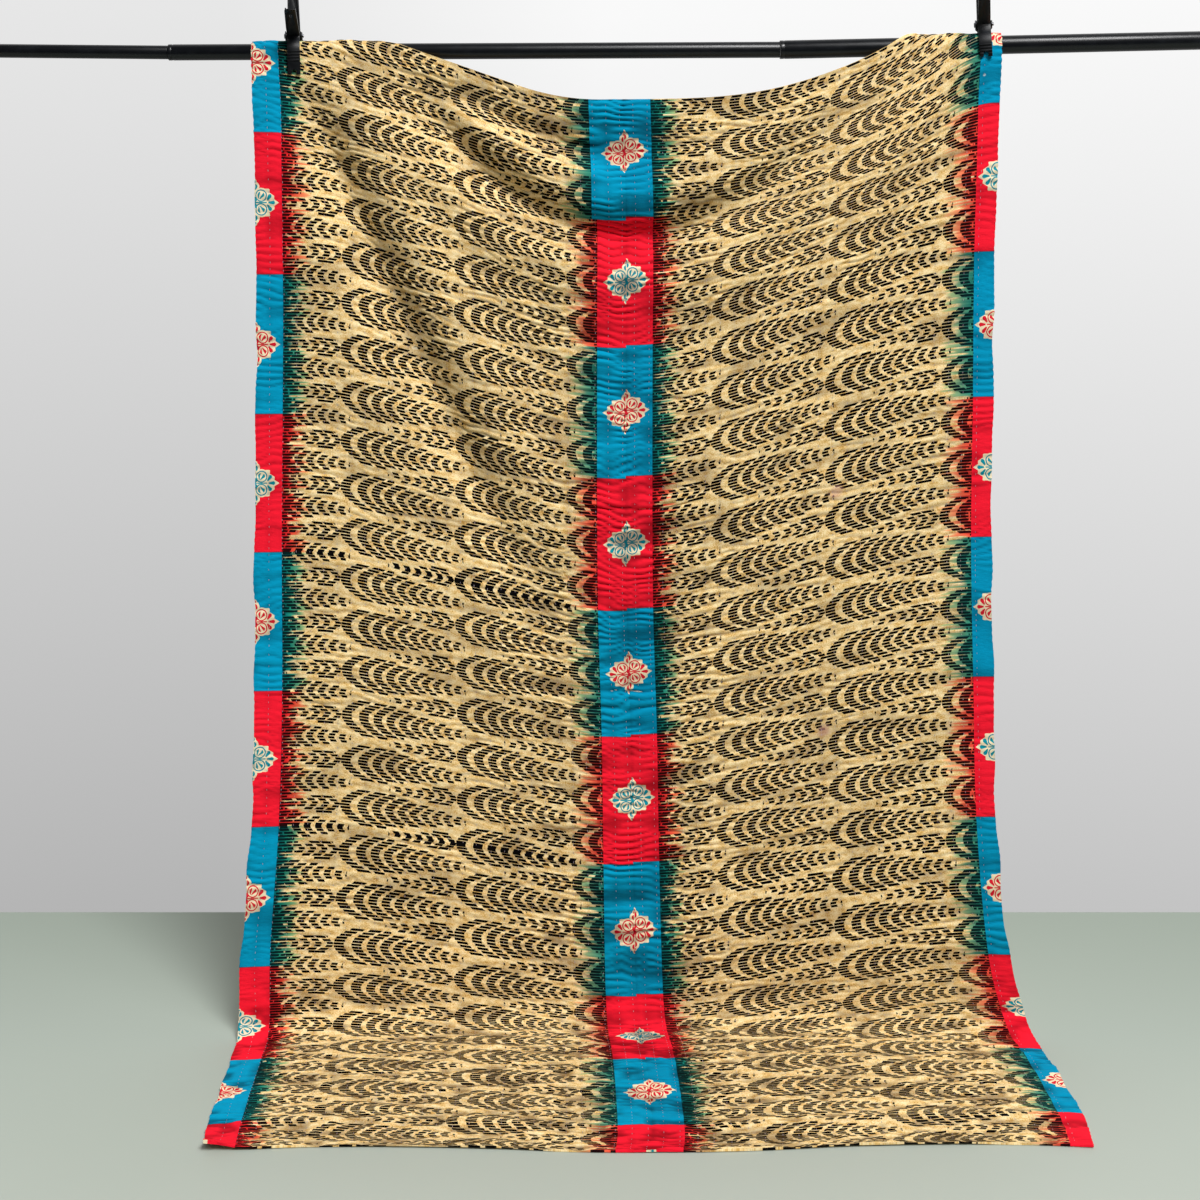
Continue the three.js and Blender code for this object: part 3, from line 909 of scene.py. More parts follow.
def blend_colours(first: Colour, second: Colour, share: float) -> Colour:
    """A colour on the way from first to second."""
    return tuple(a + (b - a) * share for a, b in zip(first, second))


@dataclass(frozen=True)
class StitchThread:
    """Soft cotton thread of a pale grey tint."""

    name: str = "stitch_thread"
    pale: Colour = paint(178, 160, 174)
    dull: Colour = paint(134, 122, 140)
    tone_cells: float = 60.0
    twists: float = 5200.0
    slant: float = 0.6

    def material(self) -> bpy.types.Material:
        """Makes the thread's finish, with its twist.

        Returns:
            The material.
        """
        sk = Sketch(self.name)
        place = sk.place()
        x, y, z = sk.parts(place)
        tone = sk.noise(place, self.tone_cells)
        twist = sk.math("SINE", (z + y + x * self.slant) * self.twists)
        colour = sk.mix(tone.step(0.3, 0.7), self.pale, self.dull)
        sk.bump(twist, strength=0.3, distance=0.0003)
        return sk.finish(colour, roughness=0.8, specular_ior_level=0.2)


@dataclass(frozen=True)
class SatinPaint:
    """Satin black paint on a drawn tube, finely scuffed along its length."""

    name: str = "rod_paint"
    black: Colour = paint(9, 11, 15)
    dusty: Colour = paint(24, 27, 32)
    scuffs: tuple[float, ...] = (6.0, 900.0, 900.0)
    specks: tuple[float, ...] = (40.0, 60.0, 60.0)
    roughness: float = 0.2

    def material(self) -> bpy.types.Material:
        """Makes the rod's finish.

        Returns:
            The material.
        """
        sk = Sketch(self.name)
        place = tuple(sk.parts(sk.place()))
        scuff = sk.grain(place, self.scuffs, 3.0)
        dust = sk.grain(place, self.specks, 4.0)
        colour = sk.mix(dust.step(0.45, 0.8) * 0.5, self.black, self.dusty)
        sk.bump(scuff, strength=0.12, distance=0.0004)
        rough = scuff * 0.14 + dust * 0.1 + self.roughness
        return sk.finish(colour, roughness=rough, specular_ior_level=0.32)


@dataclass(frozen=True)
class MouldedPlastic:
    """Black moulded plastic with a fine grain and rubbed patches."""

    name: str = "lever_plastic"
    black: Colour = paint(10, 12, 15)
    rubbed: Colour = paint(32, 35, 40)
    grain_cells: float = 1500.0
    rub_cells: float = 90.0
    roughness: float = 0.26

    def material(self) -> bpy.types.Material:
        """Makes the levers' finish.

        Returns:
            The material.
        """
        sk = Sketch(self.name)
        place = sk.place()
        grain = sk.noise(place, self.grain_cells)
        rub = sk.noise(place, self.rub_cells, 4.0)
        colour = sk.mix(rub.step(0.5, 0.8) * 0.6, self.black, self.rubbed)
        sk.bump(grain, strength=0.25, distance=0.0003)
        rough = grain * 0.12 + rub * 0.22 + self.roughness
        return sk.finish(colour, roughness=rough, specular_ior_level=0.25)


@dataclass(frozen=True)
class DarkSteel:
    """Blackened spring steel, bright where it is drawn and rubbed."""

    name: str = "clamp_steel"
    dark: Colour = paint(52, 54, 58)
    bright: Colour = paint(120, 122, 126)
    rub_cells: float = 260.0
    roughness: float = 0.28

    def material(self) -> bpy.types.Material:
        """Makes the pins' and springs' finish.

        Returns:
            The material.
        """
        sk = Sketch(self.name)
        rub = sk.noise(sk.place(), self.rub_cells, 3.0)
        colour = sk.mix(rub.step(0.4, 0.7), self.dark, self.bright)
        return sk.finish(colour, metallic=1.0, roughness=rub * 0.2 + self.roughness)


@dataclass(frozen=True)
class StudioFloor:
    """A painted floor of pale grey green, darker towards the back."""

    name: str = "studio_floor"
    near: Colour = paint(173, 181, 171)
    near_pale: Colour = paint(179, 186, 177)
    far: Colour = paint(145, 155, 144)
    cloud_cells: float = 0.9
    fade: Span = (-0.6, 1.0)

    def material(self) -> bpy.types.Material:
        """Makes the floor's finish.

        Returns:
            The material.
        """
        sk = Sketch(self.name)
        place = sk.place()
        _, y, _ = sk.parts(place)
        cloud = sk.noise(place, self.cloud_cells, 4.0)
        near = sk.mix(cloud.step(0.3, 0.7), self.near, self.near_pale)
        colour = sk.mix((y + cloud * 0.2).step(*self.fade), near, self.far)
        return sk.finish(colour, roughness=0.62, specular_ior_level=0.25)


# Drape


class BlockLine(NamedTuple):
    """Where a line between two printed blocks lies on the hung cloth, in millimetres.

    X is read at the left edge, the seam and the right edge. Drop is the way down the fall from the top of
    the rod, and is negative where the cloth laps over behind it.
    """

    left_x: float
    left_drop: float
    seam_x: float
    seam_drop: float
    right_x: float
    right_drop: float


class Fold(NamedTuple):
    """A soft fold along a bent line, in millimetres: a trough where its depth is negative."""

    from_x: float
    from_z: float
    via_x: float
    via_z: float
    to_x: float
    to_z: float
    depth: float
    width: float


class Crease(NamedTuple):
    """A short crease across the flat cloth, in millimetres."""

    from_across: float
    from_down: float
    to_across: float
    to_down: float
    depth: float
    width: float


BLOCK_LINES = (
    BlockLine(-590, -50, 38, 110, 677, -80),
    BlockLine(-581, 163, 44, 311, 671, 134),
    BlockLine(-579, 402, 44, 529, 664, 383),
    BlockLine(-581, 638, 44, 752, 663, 628),
    BlockLine(-584, 872, 46, 979, 661, 865),
    BlockLine(-585, 1108, 53, 1197, 666, 1103),
    BlockLine(-593, 1340, 57, 1419, 673, 1342),
    BlockLine(-611, 1580, 63, 1651, 696, 1578),
    BlockLine(-607, 1780, 75, 1823, 737, 1755),
    BlockLine(-596, 1997, 80, 2053, 742, 1985),
    BlockLine(-587, 2084, 75, 2134, 734, 2085),
)
MAIN_FOLDS = (
    Fold(-512, 1630, -335, 1190, -112, 720, -17, 30),
    Fold(-440, 1630, -250, 1210, -30, 760, 11, 45),
    Fold(-345, 1650, 30, 1082, 460, 1630, -19, 28),
    Fold(-270, 1620, 30, 1212, 410, 1600, 13, 34),
    Fold(-300, 1640, -100, 1490, 90, 1500, -10, 22),
    Fold(-330, 1530, 30, 1030, 440, 1500, 9, 45),
    Fold(626, 1630, 470, 1300, 185, 680, -12, 34),
    Fold(560, 1620, 400, 1250, 110, 700, 8, 50),
    Fold(200, 250, 310, 280, 420, 330, -8, 40),
    Fold(-420, 160, -250, 190, -90, 150, -6, 45),
)
ROD_POINTS = ((-1055.0, 1672.0), (-730.0, 1669.0), (304.0, 1673.5), (1055.0, 1690.0))
ROD_RADII = (11.5, 13.5, 15.5)


@dataclass(frozen=True)
class Drape:
    """The hung cloth's middle surface, in millimetres about the rod's middle and the floor."""

    thickness: float = 2.4
    rod_clearance: float = 2.0
    bend_radius: float = 50.0
    middle_floor_line: float = -25.0
    edge_floor_advance: float = -50.0
    first_block: float = 220.0
    block: float = 240.0
    last_block: float = 96.0
    lower_depth: float = 500.0
    rod_step_blend: float = 100.0
    fold_steps: int = 64
    rod_fade: Span = (20.0, 90.0)
    floor_fade: Span = (60.0, 170.0)
    taper_in: Span = (-0.1, 0.2)
    taper_out: Span = (0.6, 1.1)
    left_upper: Span = (0.1, 0.83)
    left_lower: Span = (0.2, 0.88)
    right_upper: tuple[float, float, float] = (0.07, 1.0, 0.07)
    right_upper_power: float = 2.95
    right_lower: Span = (0.14, 0.88)

    @property
    def length(self) -> float:
        """The flat length from hem to hem."""
        return self.first_block + (len(BLOCK_LINES) - 3) * self.block + self.last_block

    def rod_height(self, x: Array) -> Array:
        """The rod axis's height."""
        points = np.array(ROD_POINTS)
        return np.interp(x, points[:, 0], points[:, 1])

    def rod_radius(self, x: Array) -> Array:
        """The rod's radius, eased over its step.

        Args:
            x: Places along the rod.

        Returns:
            The radius at each place.
        """
        step = ROD_POINTS[2][0]
        share = smooth(x, step - self.rod_step_blend, step + self.rod_step_blend)
        return blend(ROD_RADII[1], ROD_RADII[2], share)

    def rod_point(self, x: float, depth: float) -> Vector:
        """A point of the rod's axis in metres, at its depth in metres."""
        return Vector((x * MM, depth, float(self.rod_height(x)) * MM))

    def lines_at(self, down: Array) -> Array:
        """The block lines' columns at distances down the flat cloth.

        Args:
            down: Distances from the top hem.

        Returns:
            A row of BlockLine values for each distance.
        """
        table = np.array(BLOCK_LINES)
        last = len(table) - 1
        starts = self.first_block + self.block * (np.arange(last + 1) - 1.0)
        starts[0], starts[last] = 0.0, self.length
        index = np.clip(np.searchsorted(starts, down, side="right") - 1, 0, last - 1)
        t = ((down - starts[index]) / (starts[index + 1] - starts[index]))[:, None]
        before, here, there, after = (table[np.clip(index + k, 0, last)] for k in (-1, 0, 1, 2))
        before = np.where(index[:, None] == 0, 2.0 * here - there, before)
        slope_here, slope_there = (there - before) / 2.0, (after - here) / 2.0
        bend = 2.0 * (here - there) + slope_here + slope_there
        lift = 3.0 * (there - here) - 2.0 * slope_here - slope_there
        return ((bend * t + lift) * t + slope_here) * t + here

    def sink(self, side: Side, share: Array, down: Array) -> Array:
        """How far a block line has sunk to its seam height.

        Args:
            side: Which length.
            share: Shares of the way from the outer edge to the seam.
            down: Distances down the flat cloth.

        Returns:
            Shares of the whole sinking.
        """
        lower = smooth(down, 0.0, self.lower_depth)
        if side is Side.LEFT:
            return blend(soft_ramp(share, *self.left_upper), soft_ramp(share, *self.left_lower), lower)
        upper = 1.0 - (1.0 - soft_ramp(share, *self.right_upper)) ** self.right_upper_power
        return blend(upper, soft_ramp(share, *self.right_lower), lower)

    def fall(self, drop: Array, x: Array, floor_line: Array) -> tuple[Array, Array]:
        """A point of the fall: over the rod, down, round and on to the floor.

        Args:
            drop: The way down the fall from the top of the rod.
            x: Places along the rod.
            floor_line: Where the fall would meet the floor.

        Returns:
            The points' Y and Z.
        """
        radius = self.rod_radius(x) + self.rod_clearance + self.thickness / 2.0
        axis = self.rod_height(x)
        quarter = radius * math.pi / 2.0
        floor = self.thickness / 2.0
        lean = np.arctan2(-floor_line - radius, axis - floor)
        tangent = self.bend_radius * np.tan((math.pi / 2.0 - lean) / 2.0)
        straight = (axis - floor) / np.cos(lean) - tangent
        along = drop - quarter
        angle = lean + (along - straight) / self.bend_radius
        centre = floor_line - tangent
        cases = [np.abs(drop) <= quarter, drop < 0.0, along <= straight, angle < math.pi / 2.0]
        y = np.select(
            cases,
            [
                -radius * np.sin(drop / radius), radius, -radius - along * np.sin(lean),
                centre + self.bend_radius * np.cos(angle),
            ],
            centre - (angle - math.pi / 2.0) * self.bend_radius,
        )
        z = np.select(
            cases,
            [
                axis + radius * np.cos(drop / radius), axis + drop + quarter, axis - along * np.cos(lean),
                floor + self.bend_radius * (1.0 - np.sin(angle)),
            ],
            floor,
        )
        return y, z

    def fold_depth(self, folds: tuple[Fold, ...], x: Array, z: Array) -> Array:
        """How far folds push the hanging cloth towards the viewer.

        Args:
            folds: The folds.
            x: Places along the rod.
            z: Heights.

        Returns:
            The push at each place.
        """
        fade = smooth(self.rod_height(x) - z, *self.rod_fade) * smooth(z, *self.floor_fade)
        total = np.zeros_like(x)
        t = np.linspace(0.0, 1.0, self.fold_steps + 1)
        for fold in folds:
            line_x = bent_line(t, fold.from_x, fold.via_x, fold.to_x)
            line_z = bent_line(t, fold.from_z, fold.via_z, fold.to_z)
            nearest = np.full(x.shape, np.inf)
            share = np.zeros_like(x)
            for place, px, pz in zip(t, line_x, line_z):
                away = np.hypot(px - x, pz - z)
                closer = away < nearest
                nearest[closer] = away[closer]
                share[closer] = place
            taper = smooth(share, *self.taper_in) * (1.0 - smooth(share, *self.taper_out))
            total += fold.depth * taper * np.exp(-((nearest / fold.width) ** 2))
        return total * fade

    def middle(self, side: Side, share: Array, down: Array, fine: tuple[Fold, ...]) -> Array:
        """The cloth's middle surface as a grid.

        Args:
            side: Which length.
            share: Shares of the way from the outer edge to the seam, one for each column.
            down: Distances down the flat cloth, one for each row.
            fine: Smaller folds on top of the main ones.

        Returns:
            Points by row and column.
        """
        lines = self.lines_at(down)[:, None, :]
        share, down = share[None, :], down[:, None]
        left_x, left_drop, seam_x, seam_drop, right_x, right_drop = np.moveaxis(lines, -1, 0)
        edge_x, edge_drop = (left_x, left_drop) if side is Side.LEFT else (right_x, right_drop)
        x = blend(edge_x, seam_x, share)
        drop = blend(edge_drop, seam_drop, self.sink(side, share, down))
        floor_line = self.middle_floor_line + self.edge_floor_advance * (1.0 - share) ** 2
        y, z = self.fall(drop, x, floor_line + 0.0 * x)
        push = self.fold_depth(MAIN_FOLDS + fine, x, z)
        return np.stack([x, y - np.where(drop > 0.0, push, 0.0), z], axis=-1)


FINE_FOLDS = (
    Fold(-505, 1610, -325, 1180, -100, 700, -13, 50),
    Fold(-570, 1600, -450, 1200, -280, 850, 7, 50),
    Fold(-345, 1650, 30, 1072, 460, 1630, -9, 50),
    Fold(-310, 1645, -60, 1440, 160, 1500, -10, 26),
    Fold(-290, 1630, 40, 1290, 400, 1620, 7, 30),
    Fold(-430, 1620, -150, 1300, 40, 1310, 6, 40),
    Fold(620, 1620, 480, 1280, 200, 660, -8, 45),
)
CREASES: dict[Side, tuple[Crease, ...]] = {
    Side.LEFT: (
        Crease(560, 742, 676, 744, 2.6, 7.0),
        Crease(540, 756, 676, 756, -2.6, 5.0),
        Crease(590, 1092, 676, 1095, -2.4, 6.0),
        Crease(570, 1112, 676, 1112, 2.4, 8.0),
        Crease(590, 1128, 676, 1129, -2.0, 5.0),
    ),
    Side.RIGHT: (
        Crease(0, 744, 120, 742, 2.6, 7.0),
        Crease(0, 757, 150, 755, -2.8, 5.0),
        Crease(0, 1092, 70, 1090, -2.4, 6.0),
        Crease(0, 1110, 90, 1108, 2.4, 8.0),
        Crease(0, 1127, 80, 1126, -2.0, 5.0),
    ),
}


# Making pieces


def deselect_all() -> None:
    """Leaves object mode with nothing selected."""
    if bpy.context.mode != "OBJECT":
        bpy.ops.object.mode_set(mode="OBJECT")
    bpy.ops.object.select_all(action="DESELECT")


def make_active(piece: bpy.types.Object) -> None:
    """Selects one piece alone.

    Args:
        piece: The piece.
    """
    deselect_all()
    piece.select_set(True)
    bpy.context.view_layer.objects.active = piece


@contextmanager
def editing(piece: bpy.types.Object) -> Iterator[None]:
    """Edit mode on one piece, with nothing selected at its start.

    Args:
        piece: The piece.

    Yields:
        Nothing, while the piece is edited.
    """
    make_active(piece)
    bpy.ops.object.mode_set(mode="EDIT")
    bpy.ops.mesh.select_mode(type="FACE")
    bpy.ops.mesh.select_all(action="DESELECT")
    yield
    bpy.ops.object.mode_set(mode="OBJECT")


def select_ends(piece: bpy.types.Object, way: float) -> None:
    """Selects the faces that look up or down.

    Args:
        piece: The piece in edit mode.
        way: 1 for up, -1 for down.
    """
    bpy.ops.mesh.select_all(action="DESELECT")
    grid = bmesh.from_edit_mesh(piece.data)
    for face in grid.faces:
        face.select_set(face.normal.z * way > UPRIGHT)
    grid.select_flush(True)
    bmesh.update_edit_mesh(piece.data)


def extrude(height: float) -> None:
    """Draws the selected faces out along Z."""
    bpy.ops.mesh.extrude_region_move(TRANSFORM_OT_translate={"value": (0, 0, height)})


def apply_modifier(piece: bpy.types.Object, kind: str, **settings: object) -> None:
    """Adds a modifier, sets it and applies it.

    Args:
        piece: The piece.
        kind: The modifier's type.
        settings: Its options.
    """
    make_active(piece)
    modifier = piece.modifiers.new(kind.lower(), kind)
    for name, value in settings.items():
        setattr(modifier, name, value)
    bpy.ops.object.modifier_apply(modifier=modifier.name)


def smooth_faces(piece: bpy.types.Object, sharp: float) -> None:
    """Shades a piece smooth up to an angle in degrees."""
    make_active(piece)
    bpy.ops.object.shade_smooth_by_angle(angle=math.radians(sharp))


def round_edges(piece: bpy.types.Object, width: float, segments: int = 3, sharp: float = 35.0) -> None:
    """Rounds a piece's hard edges and smooths what is left.

    Args:
        piece: The piece.
        width: The rounding's width in metres.
        segments: Its steps.
        sharp: The least angle of a hard edge, in degrees.
    """
    angle = math.radians(sharp)
    apply_modifier(piece, "BEVEL", width=width, segments=segments, limit_method="ANGLE", angle_limit=angle)
    smooth_faces(piece, SMOOTHED)


def turned(x: float, y: float, z: float) -> Matrix:
    """A turn about the three axes."""
    return Euler((x, y, z)).to_matrix().to_4x4()


def settle(piece: bpy.types.Object, place: Matrix) -> None:
    """Moves a piece to its place and applies the move to its mesh.

    Args:
        piece: The piece.
        place: Its place.
    """
    make_active(piece)
    piece.matrix_world = place
    bpy.ops.object.transform_apply(location=True, rotation=True, scale=True)


def dress(piece: bpy.types.Object, material: bpy.types.Material, slot: str, *nodes: str) -> None:
    """Gives a piece its material, and its place in the frame.

    Args:
        piece: The piece.
        material: Its material.
        slot: The record's material slot, which is not used.
        nodes: The solids that it stands for.
    """
    piece.data.materials.clear()
    piece.data.materials.append(material)
    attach(piece, BODY)
    if nodes:
        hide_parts(*nodes)


def new_mesh(name: str, points: Array, faces: list[tuple[int, ...]]) -> bpy.types.Object:
    """Makes a piece from points and faces.

    Args:
        name: The piece's name.
        points: Its points in metres.
        faces: Its faces' corners.

    Returns:
        The piece.
    """
    mesh = bpy.data.meshes.new(name)
    mesh.from_pydata(points.tolist(), [], faces)
    mesh.update()
    piece = bpy.data.objects.new(name, mesh)
    bpy.context.scene.collection.objects.link(piece)
    return piece


# Quilt


@dataclass(frozen=True)
class Crinkles:
    """Measures of the quilting's relief, in millimetres. A cell is a noise's size across and down."""

    pitch: float = 12.6
    wander: float = 1.1
    wander_cell: Span = (62.0, 130.0)
    waver: float = 0.75
    waver_cell: Span = (26.0, 48.0)
    field_slack: float = 2.3
    seam_slack: float = 3.8
    slack_share: Span = (0.5, 1.0)
    floor_slack: float = 0.4
    slack_end: Span = (1600.0, 1740.0)
    patch: float = 0.62
    patch_cell: Span = (36.0, 28.0)
    patch_range: Span = (0.04, 1.5)
    bump_power: float = 0.8
    bump_middle: float = 0.35
    swell: float = 0.4
    swell_cell: Span = (70.0, 17.0)
    puff: float = 0.4
    seam_depth: float = -0.5
    seam_width: float = 4.0
    ruck: float = 2.3
    ruck_cell: Span = (27.0, 17.0)
    small_ruck: float = 1.1
    small_ruck_cell: Span = (12.0, 9.0)
    floor_start: Span = (1640.0, 1790.0)
    least: float = -1.5
    least_bend: float = 3.0
    # Painted shade: relief below these levels darkens the print's colour in the troughs, fully at the depth
    # given last.
    field_rise: float = 0.9
    seam_rise: float = 1.6
    rise_share: Span = (0.6, 1.0)
    floor_rise: float = 0.6
    trough_shade_depth: float = 2.2
    crease_sway: float = 3.0
    crease_cell: float = 50.0
    crease_ends: Span = (-20.0, 25.0)


@dataclass(frozen=True)
class LooseEdges:
    """Measures of the free edges' wanderings and of the lifted corner, in millimetres."""

    edge_share: float = 0.05
    scallop: float = 0.9
    scallop_pitch: float = 12.5
    sway: float = 2.6
    sway_cell: float = 55.0
    foot: float = 60.0
    foot_lift: float = 1.6
    foot_cell: float = 90.0
    corner_lift: float = 13.0
    corner_width: float = 42.0


@dataclass(frozen=True)
class StitchShape:
    """Measures of a running stitch, in millimetres, with its rings' places as shares of its length."""

    length: Span = (3.4, 5.4)
    skew: float = 0.35
    ring: float = 0.26
    half_width: float = 0.4
    crown: float = 0.45
    root: float = 0.35
    tip: float = 0.5
    tip_sink: float = -0.5
    sway: float = 1.3
    sway_cell: float = 70.0
    edge_margin: float = 4.0
    end_margin: float = 6.0


@dataclass
class QuiltPanel:
    """One quilted length of the cover."""

    side: Side
    width: float
    print_finish: CottonPrint
    origin: Vector
    drape: Drape = Drape()
    crinkles: Crinkles = Crinkles()
    edges: LooseEdges = LooseEdges()
    stitch: StitchShape = StitchShape()
    columns_per_line: int = 3
    least_column: float = 2.0
    rows: int = 1080
    lap_rows: int = 90
    lap_step: int = 3
    under_row_step: int = 7
    under_column_step: int = 3
    stitch_spacing: float = 24.8
    first_stitch_line: float = 24.2
    sharp: float = 72.0
    seed: int = 11
    across: Array = field(init=False)
    columns: int = field(init=False)
    down: Array = field(init=False)
    share: Array = field(init=False)
    outer: Array = field(init=False)
    normal: Array = field(init=False)
    hollow: Array = field(init=False)
    slots: Array = field(init=False)

    def __post_init__(self) -> None:
        """Lays out the flat measure."""
        step = self.stitch_spacing / self.columns_per_line
        inner = np.arange(self.first_stitch_line % step, self.width - self.least_column, step)
        inner = inner[inner > self.least_column]
        self.across = np.concatenate([[0.0], inner, [self.width]])
        self.columns = len(self.across) - 1
        self.down = np.linspace(0.0, self.drape.length, self.rows + 1)
        left = self.side is Side.LEFT
        self.share = self.across / self.width if left else 1.0 - self.across / self.width

    def from_seam(self, across: Array) -> Array:
        """Places across both lengths, measured from the seam to the right."""
        return across - self.width if self.side is Side.LEFT else across

    def noise(self, step: int, across: Array, down: Array, cell: Span) -> Array:
        """One of the length's noises, by its step from the seed, over cells of a size."""
        return value_noise(self.seed + step, across / cell[0], down / cell[1])

    def phase(self, across: Array, down: Array) -> Array:
        """The count of crinkles down the cloth.

        Args:
            across: Flat places across.
            down: Flat places down.

        Returns:
            The count at each place, whole in the troughs.
        """
        form = self.crinkles
        across = self.from_seam(across)
        wander = form.wander * self.noise(0, across, down, form.wander_cell)
        waver = form.waver * self.noise(1, across, down, form.waver_cell)
        return down / form.pitch + wander + waver

    def relief(self, across: Array, down: Array, share: Array) -> Array:
        """How far the quilting stands out of the cloth's plane.

        Args:
            across: Flat places across.
            down: Flat places down.
            share: Shares of the way from the outer edge to the seam.

        Returns:
            Heights in millimetres.
        """
        form = self.crinkles
        aside = self.from_seam(across)
        slack = blend(form.field_slack, form.seam_slack, smooth(share, *form.slack_share))
        slack = slack * blend(1.0, form.floor_slack, smooth(down, *form.slack_end))
        patchy = np.clip(form.patch + self.noise(2, aside, down, form.patch_cell), *form.patch_range)
        bumps = np.abs(np.sin(math.pi * self.phase(across, down))) ** form.bump_power
        swells = self.noise(8, aside, down, form.swell_cell)
        ripples = slack * (patchy * (bumps - form.bump_middle) + form.swell * swells)
        between = (across - self.first_stitch_line) / self.stitch_spacing
        puff = form.puff * np.abs(np.sin(math.pi * between))
        seam = form.seam_depth * np.exp(-(((1.0 - share) * self.width / form.seam_width) ** 2))
        rucks = self.noise(9, aside, down, form.ruck_cell) * form.ruck
        rucks = rucks + self.noise(10, aside, down, form.small_ruck_cell) * form.small_ruck
        heights = ripples + puff + seam + rucks * smooth(down, *form.floor_start)
        return form.least + np.logaddexp(0.0, form.least_bend * (heights - form.least)) / form.least_bend

    def crease_height(self, crease: Crease, across: Array, down: Array) -> Array:
        """How far one crease stands out.

        Args:
            crease: The crease.
            across: Flat places across.
            down: Flat places down.

        Returns:
            Heights in millimetres.
        """
        form = self.crinkles
        start = np.array([crease.from_across, crease.from_down])
        way = np.array([crease.to_across, crease.to_down]) - start
        length = float(np.hypot(*way))
        along = ((across - start[0]) * way[0] + (down - start[1]) * way[1]) / length
        aside = ((across - start[0]) * way[1] - (down - start[1]) * way[0]) / length
        bent = aside + form.crease_sway * value_noise(self.seed + 5, along / form.crease_cell, 0.0 * along)
        before, full = form.crease_ends
        ends = smooth(along, before, full) * (1.0 - smooth(along, length - full, length - before))
        return crease.depth * ends * np.exp(-((bent / crease.width) ** 2))

    def surfaces(self) -> tuple[Array, Array]:
        """Works out the cloth's two faces, and keeps the normals and the painted shade of the troughs.

        Returns:
            The outer face's points and the under face's points, by row and column.
        """
        form = self.crinkles
        middle = self.drape.middle(self.side, self.share, self.down, FINE_FOLDS)
        across, down = np.meshgrid(self.across, self.down)
        share = np.broadcast_to(self.share, across.shape)
        middle = middle + self.loose_edges(across, down, share)
        for crease in CREASES[self.side]:
            middle[..., 1] -= self.crease_height(crease, across, down)
        normal = np.cross(np.gradient(middle, axis=0), np.gradient(middle, self.across, axis=1))
        normal /= np.linalg.norm(normal, axis=-1, keepdims=True)
        half = self.drape.thickness / 2.0
        relief = self.relief(across, down, share)
        # Painted shade: relief below a level, as a share of a depth, darkens the troughs' colour.
        rise = blend(form.field_rise, form.seam_rise, smooth(share, *form.rise_share))
        rise = rise * blend(1.0, form.floor_rise, smooth(down, *form.floor_start))
        self.hollow = np.clip((rise - relief) / form.trough_shade_depth, 0.0, 1.0)
        self.normal = normal
        return middle + normal * (half + relief)[..., None], middle - normal * half

    def loose_edges(self, across: Array, down: Array, share: Array) -> Array:
        """Small wanderings of the free edges, and the lifted corner on the floor.

        Args:
            across: Flat places across.
            down: Flat places down.
            share: Shares of the way from the outer edge to the seam.

        Returns:
            Moves in millimetres.
        """
        edges, length = self.edges, self.drape.length
        near_edge = 1.0 - smooth(share, 0.0, edges.edge_share)
        near_foot = smooth(down, length - edges.foot, length)
        sign = -1.0 if self.side is Side.LEFT else 1.0
        scallops = edges.scallop * np.abs(np.sin(math.pi * down / edges.scallop_pitch))
        scallops = scallops + edges.sway * value_noise(self.seed + 3, 0.0 * down, down / edges.sway_cell)
        x = sign * near_edge * scallops
        lift = edges.foot_lift * value_noise(self.seed + 4, across / edges.foot_cell, 0.0 * across)
        z = near_foot * (edges.foot_lift + lift)
        if self.side is Side.LEFT:
            corner = np.hypot(across, length - down)
            z = z + edges.corner_lift * np.exp(-((corner / edges.corner_width) ** 2))
        return np.stack([x, np.zeros_like(x), z], axis=-1)

    def build(self) -> bpy.types.Object:
        """Builds the closed sheet, its outer face finer than its under face.

        Returns:
            The sheet.
        """
        self.outer, under = self.surfaces()
        rows = [*range(0, self.lap_rows, self.lap_step)]
        rows += [*range(self.lap_rows, self.rows, self.under_row_step), self.rows]
        columns = [*range(0, self.columns, self.under_column_step), self.columns]
        stride, under_stride = self.columns + 1, len(columns)
        base = self.outer.shape[0] * stride
        points = np.concatenate([self.outer.reshape(-1, 3), under[np.ix_(rows, columns)].reshape(-1, 3)])
        corner = (np.arange(self.rows)[:, None] * stride + np.arange(self.columns)[None, :]).ravel()
        faces = np.stack([corner, corner + stride, corner + stride + 1, corner + 1], axis=1).tolist()
        front_count = len(faces)
        for i in range(len(rows) - 1):
            for j in range(len(columns) - 1):
                a = base + i * under_stride + j
                faces.append([a, a + 1, a + under_stride + 1, a + under_stride])
        under_count = len(faces)
        faces += self.rim(rows, columns, stride, base)
        piece = new_mesh(f"quilt_{self.side.value}", points * MM + np.array(self.origin), faces)
        self.slots = np.zeros(len(faces), dtype=np.int32)
        self.slots[front_count:under_count] = 1
        self.write_flat(piece.data, rows, columns)
        # Painted shade of the troughs, kept on the outer face's points only.
        hollow = np.zeros(len(points), dtype=np.float32)
        hollow[:base] = self.hollow.ravel()
        piece.data.attributes.new(TROUGH_SHADING, "FLOAT", "POINT").data.foreach_set("value", hollow)
        smooth_faces(piece, self.sharp)
        return piece

    def write_flat(self, mesh: bpy.types.Mesh, rows: list[int], columns: list[int]) -> None:
        """Writes the flat measure as a map, in metres.

        Args:
            mesh: The sheet's mesh.
            rows: Rows of the outer face that the under face keeps.
            columns: Columns of the outer face that the under face keeps.
        """
        flat = np.stack(np.meshgrid(self.across, self.down), axis=-1)
        flat = np.concatenate([flat.reshape(-1, 2), flat[np.ix_(rows, columns)].reshape(-1, 2)])
        corners = np.empty(len(mesh.loops), dtype=np.int32)
        mesh.loops.foreach_get("vertex_index", corners)
        layer = mesh.uv_layers.new(name=FLAT_MAP)
        layer.data.foreach_set("uv", (flat[corners] * MM).astype(np.float32).ravel())

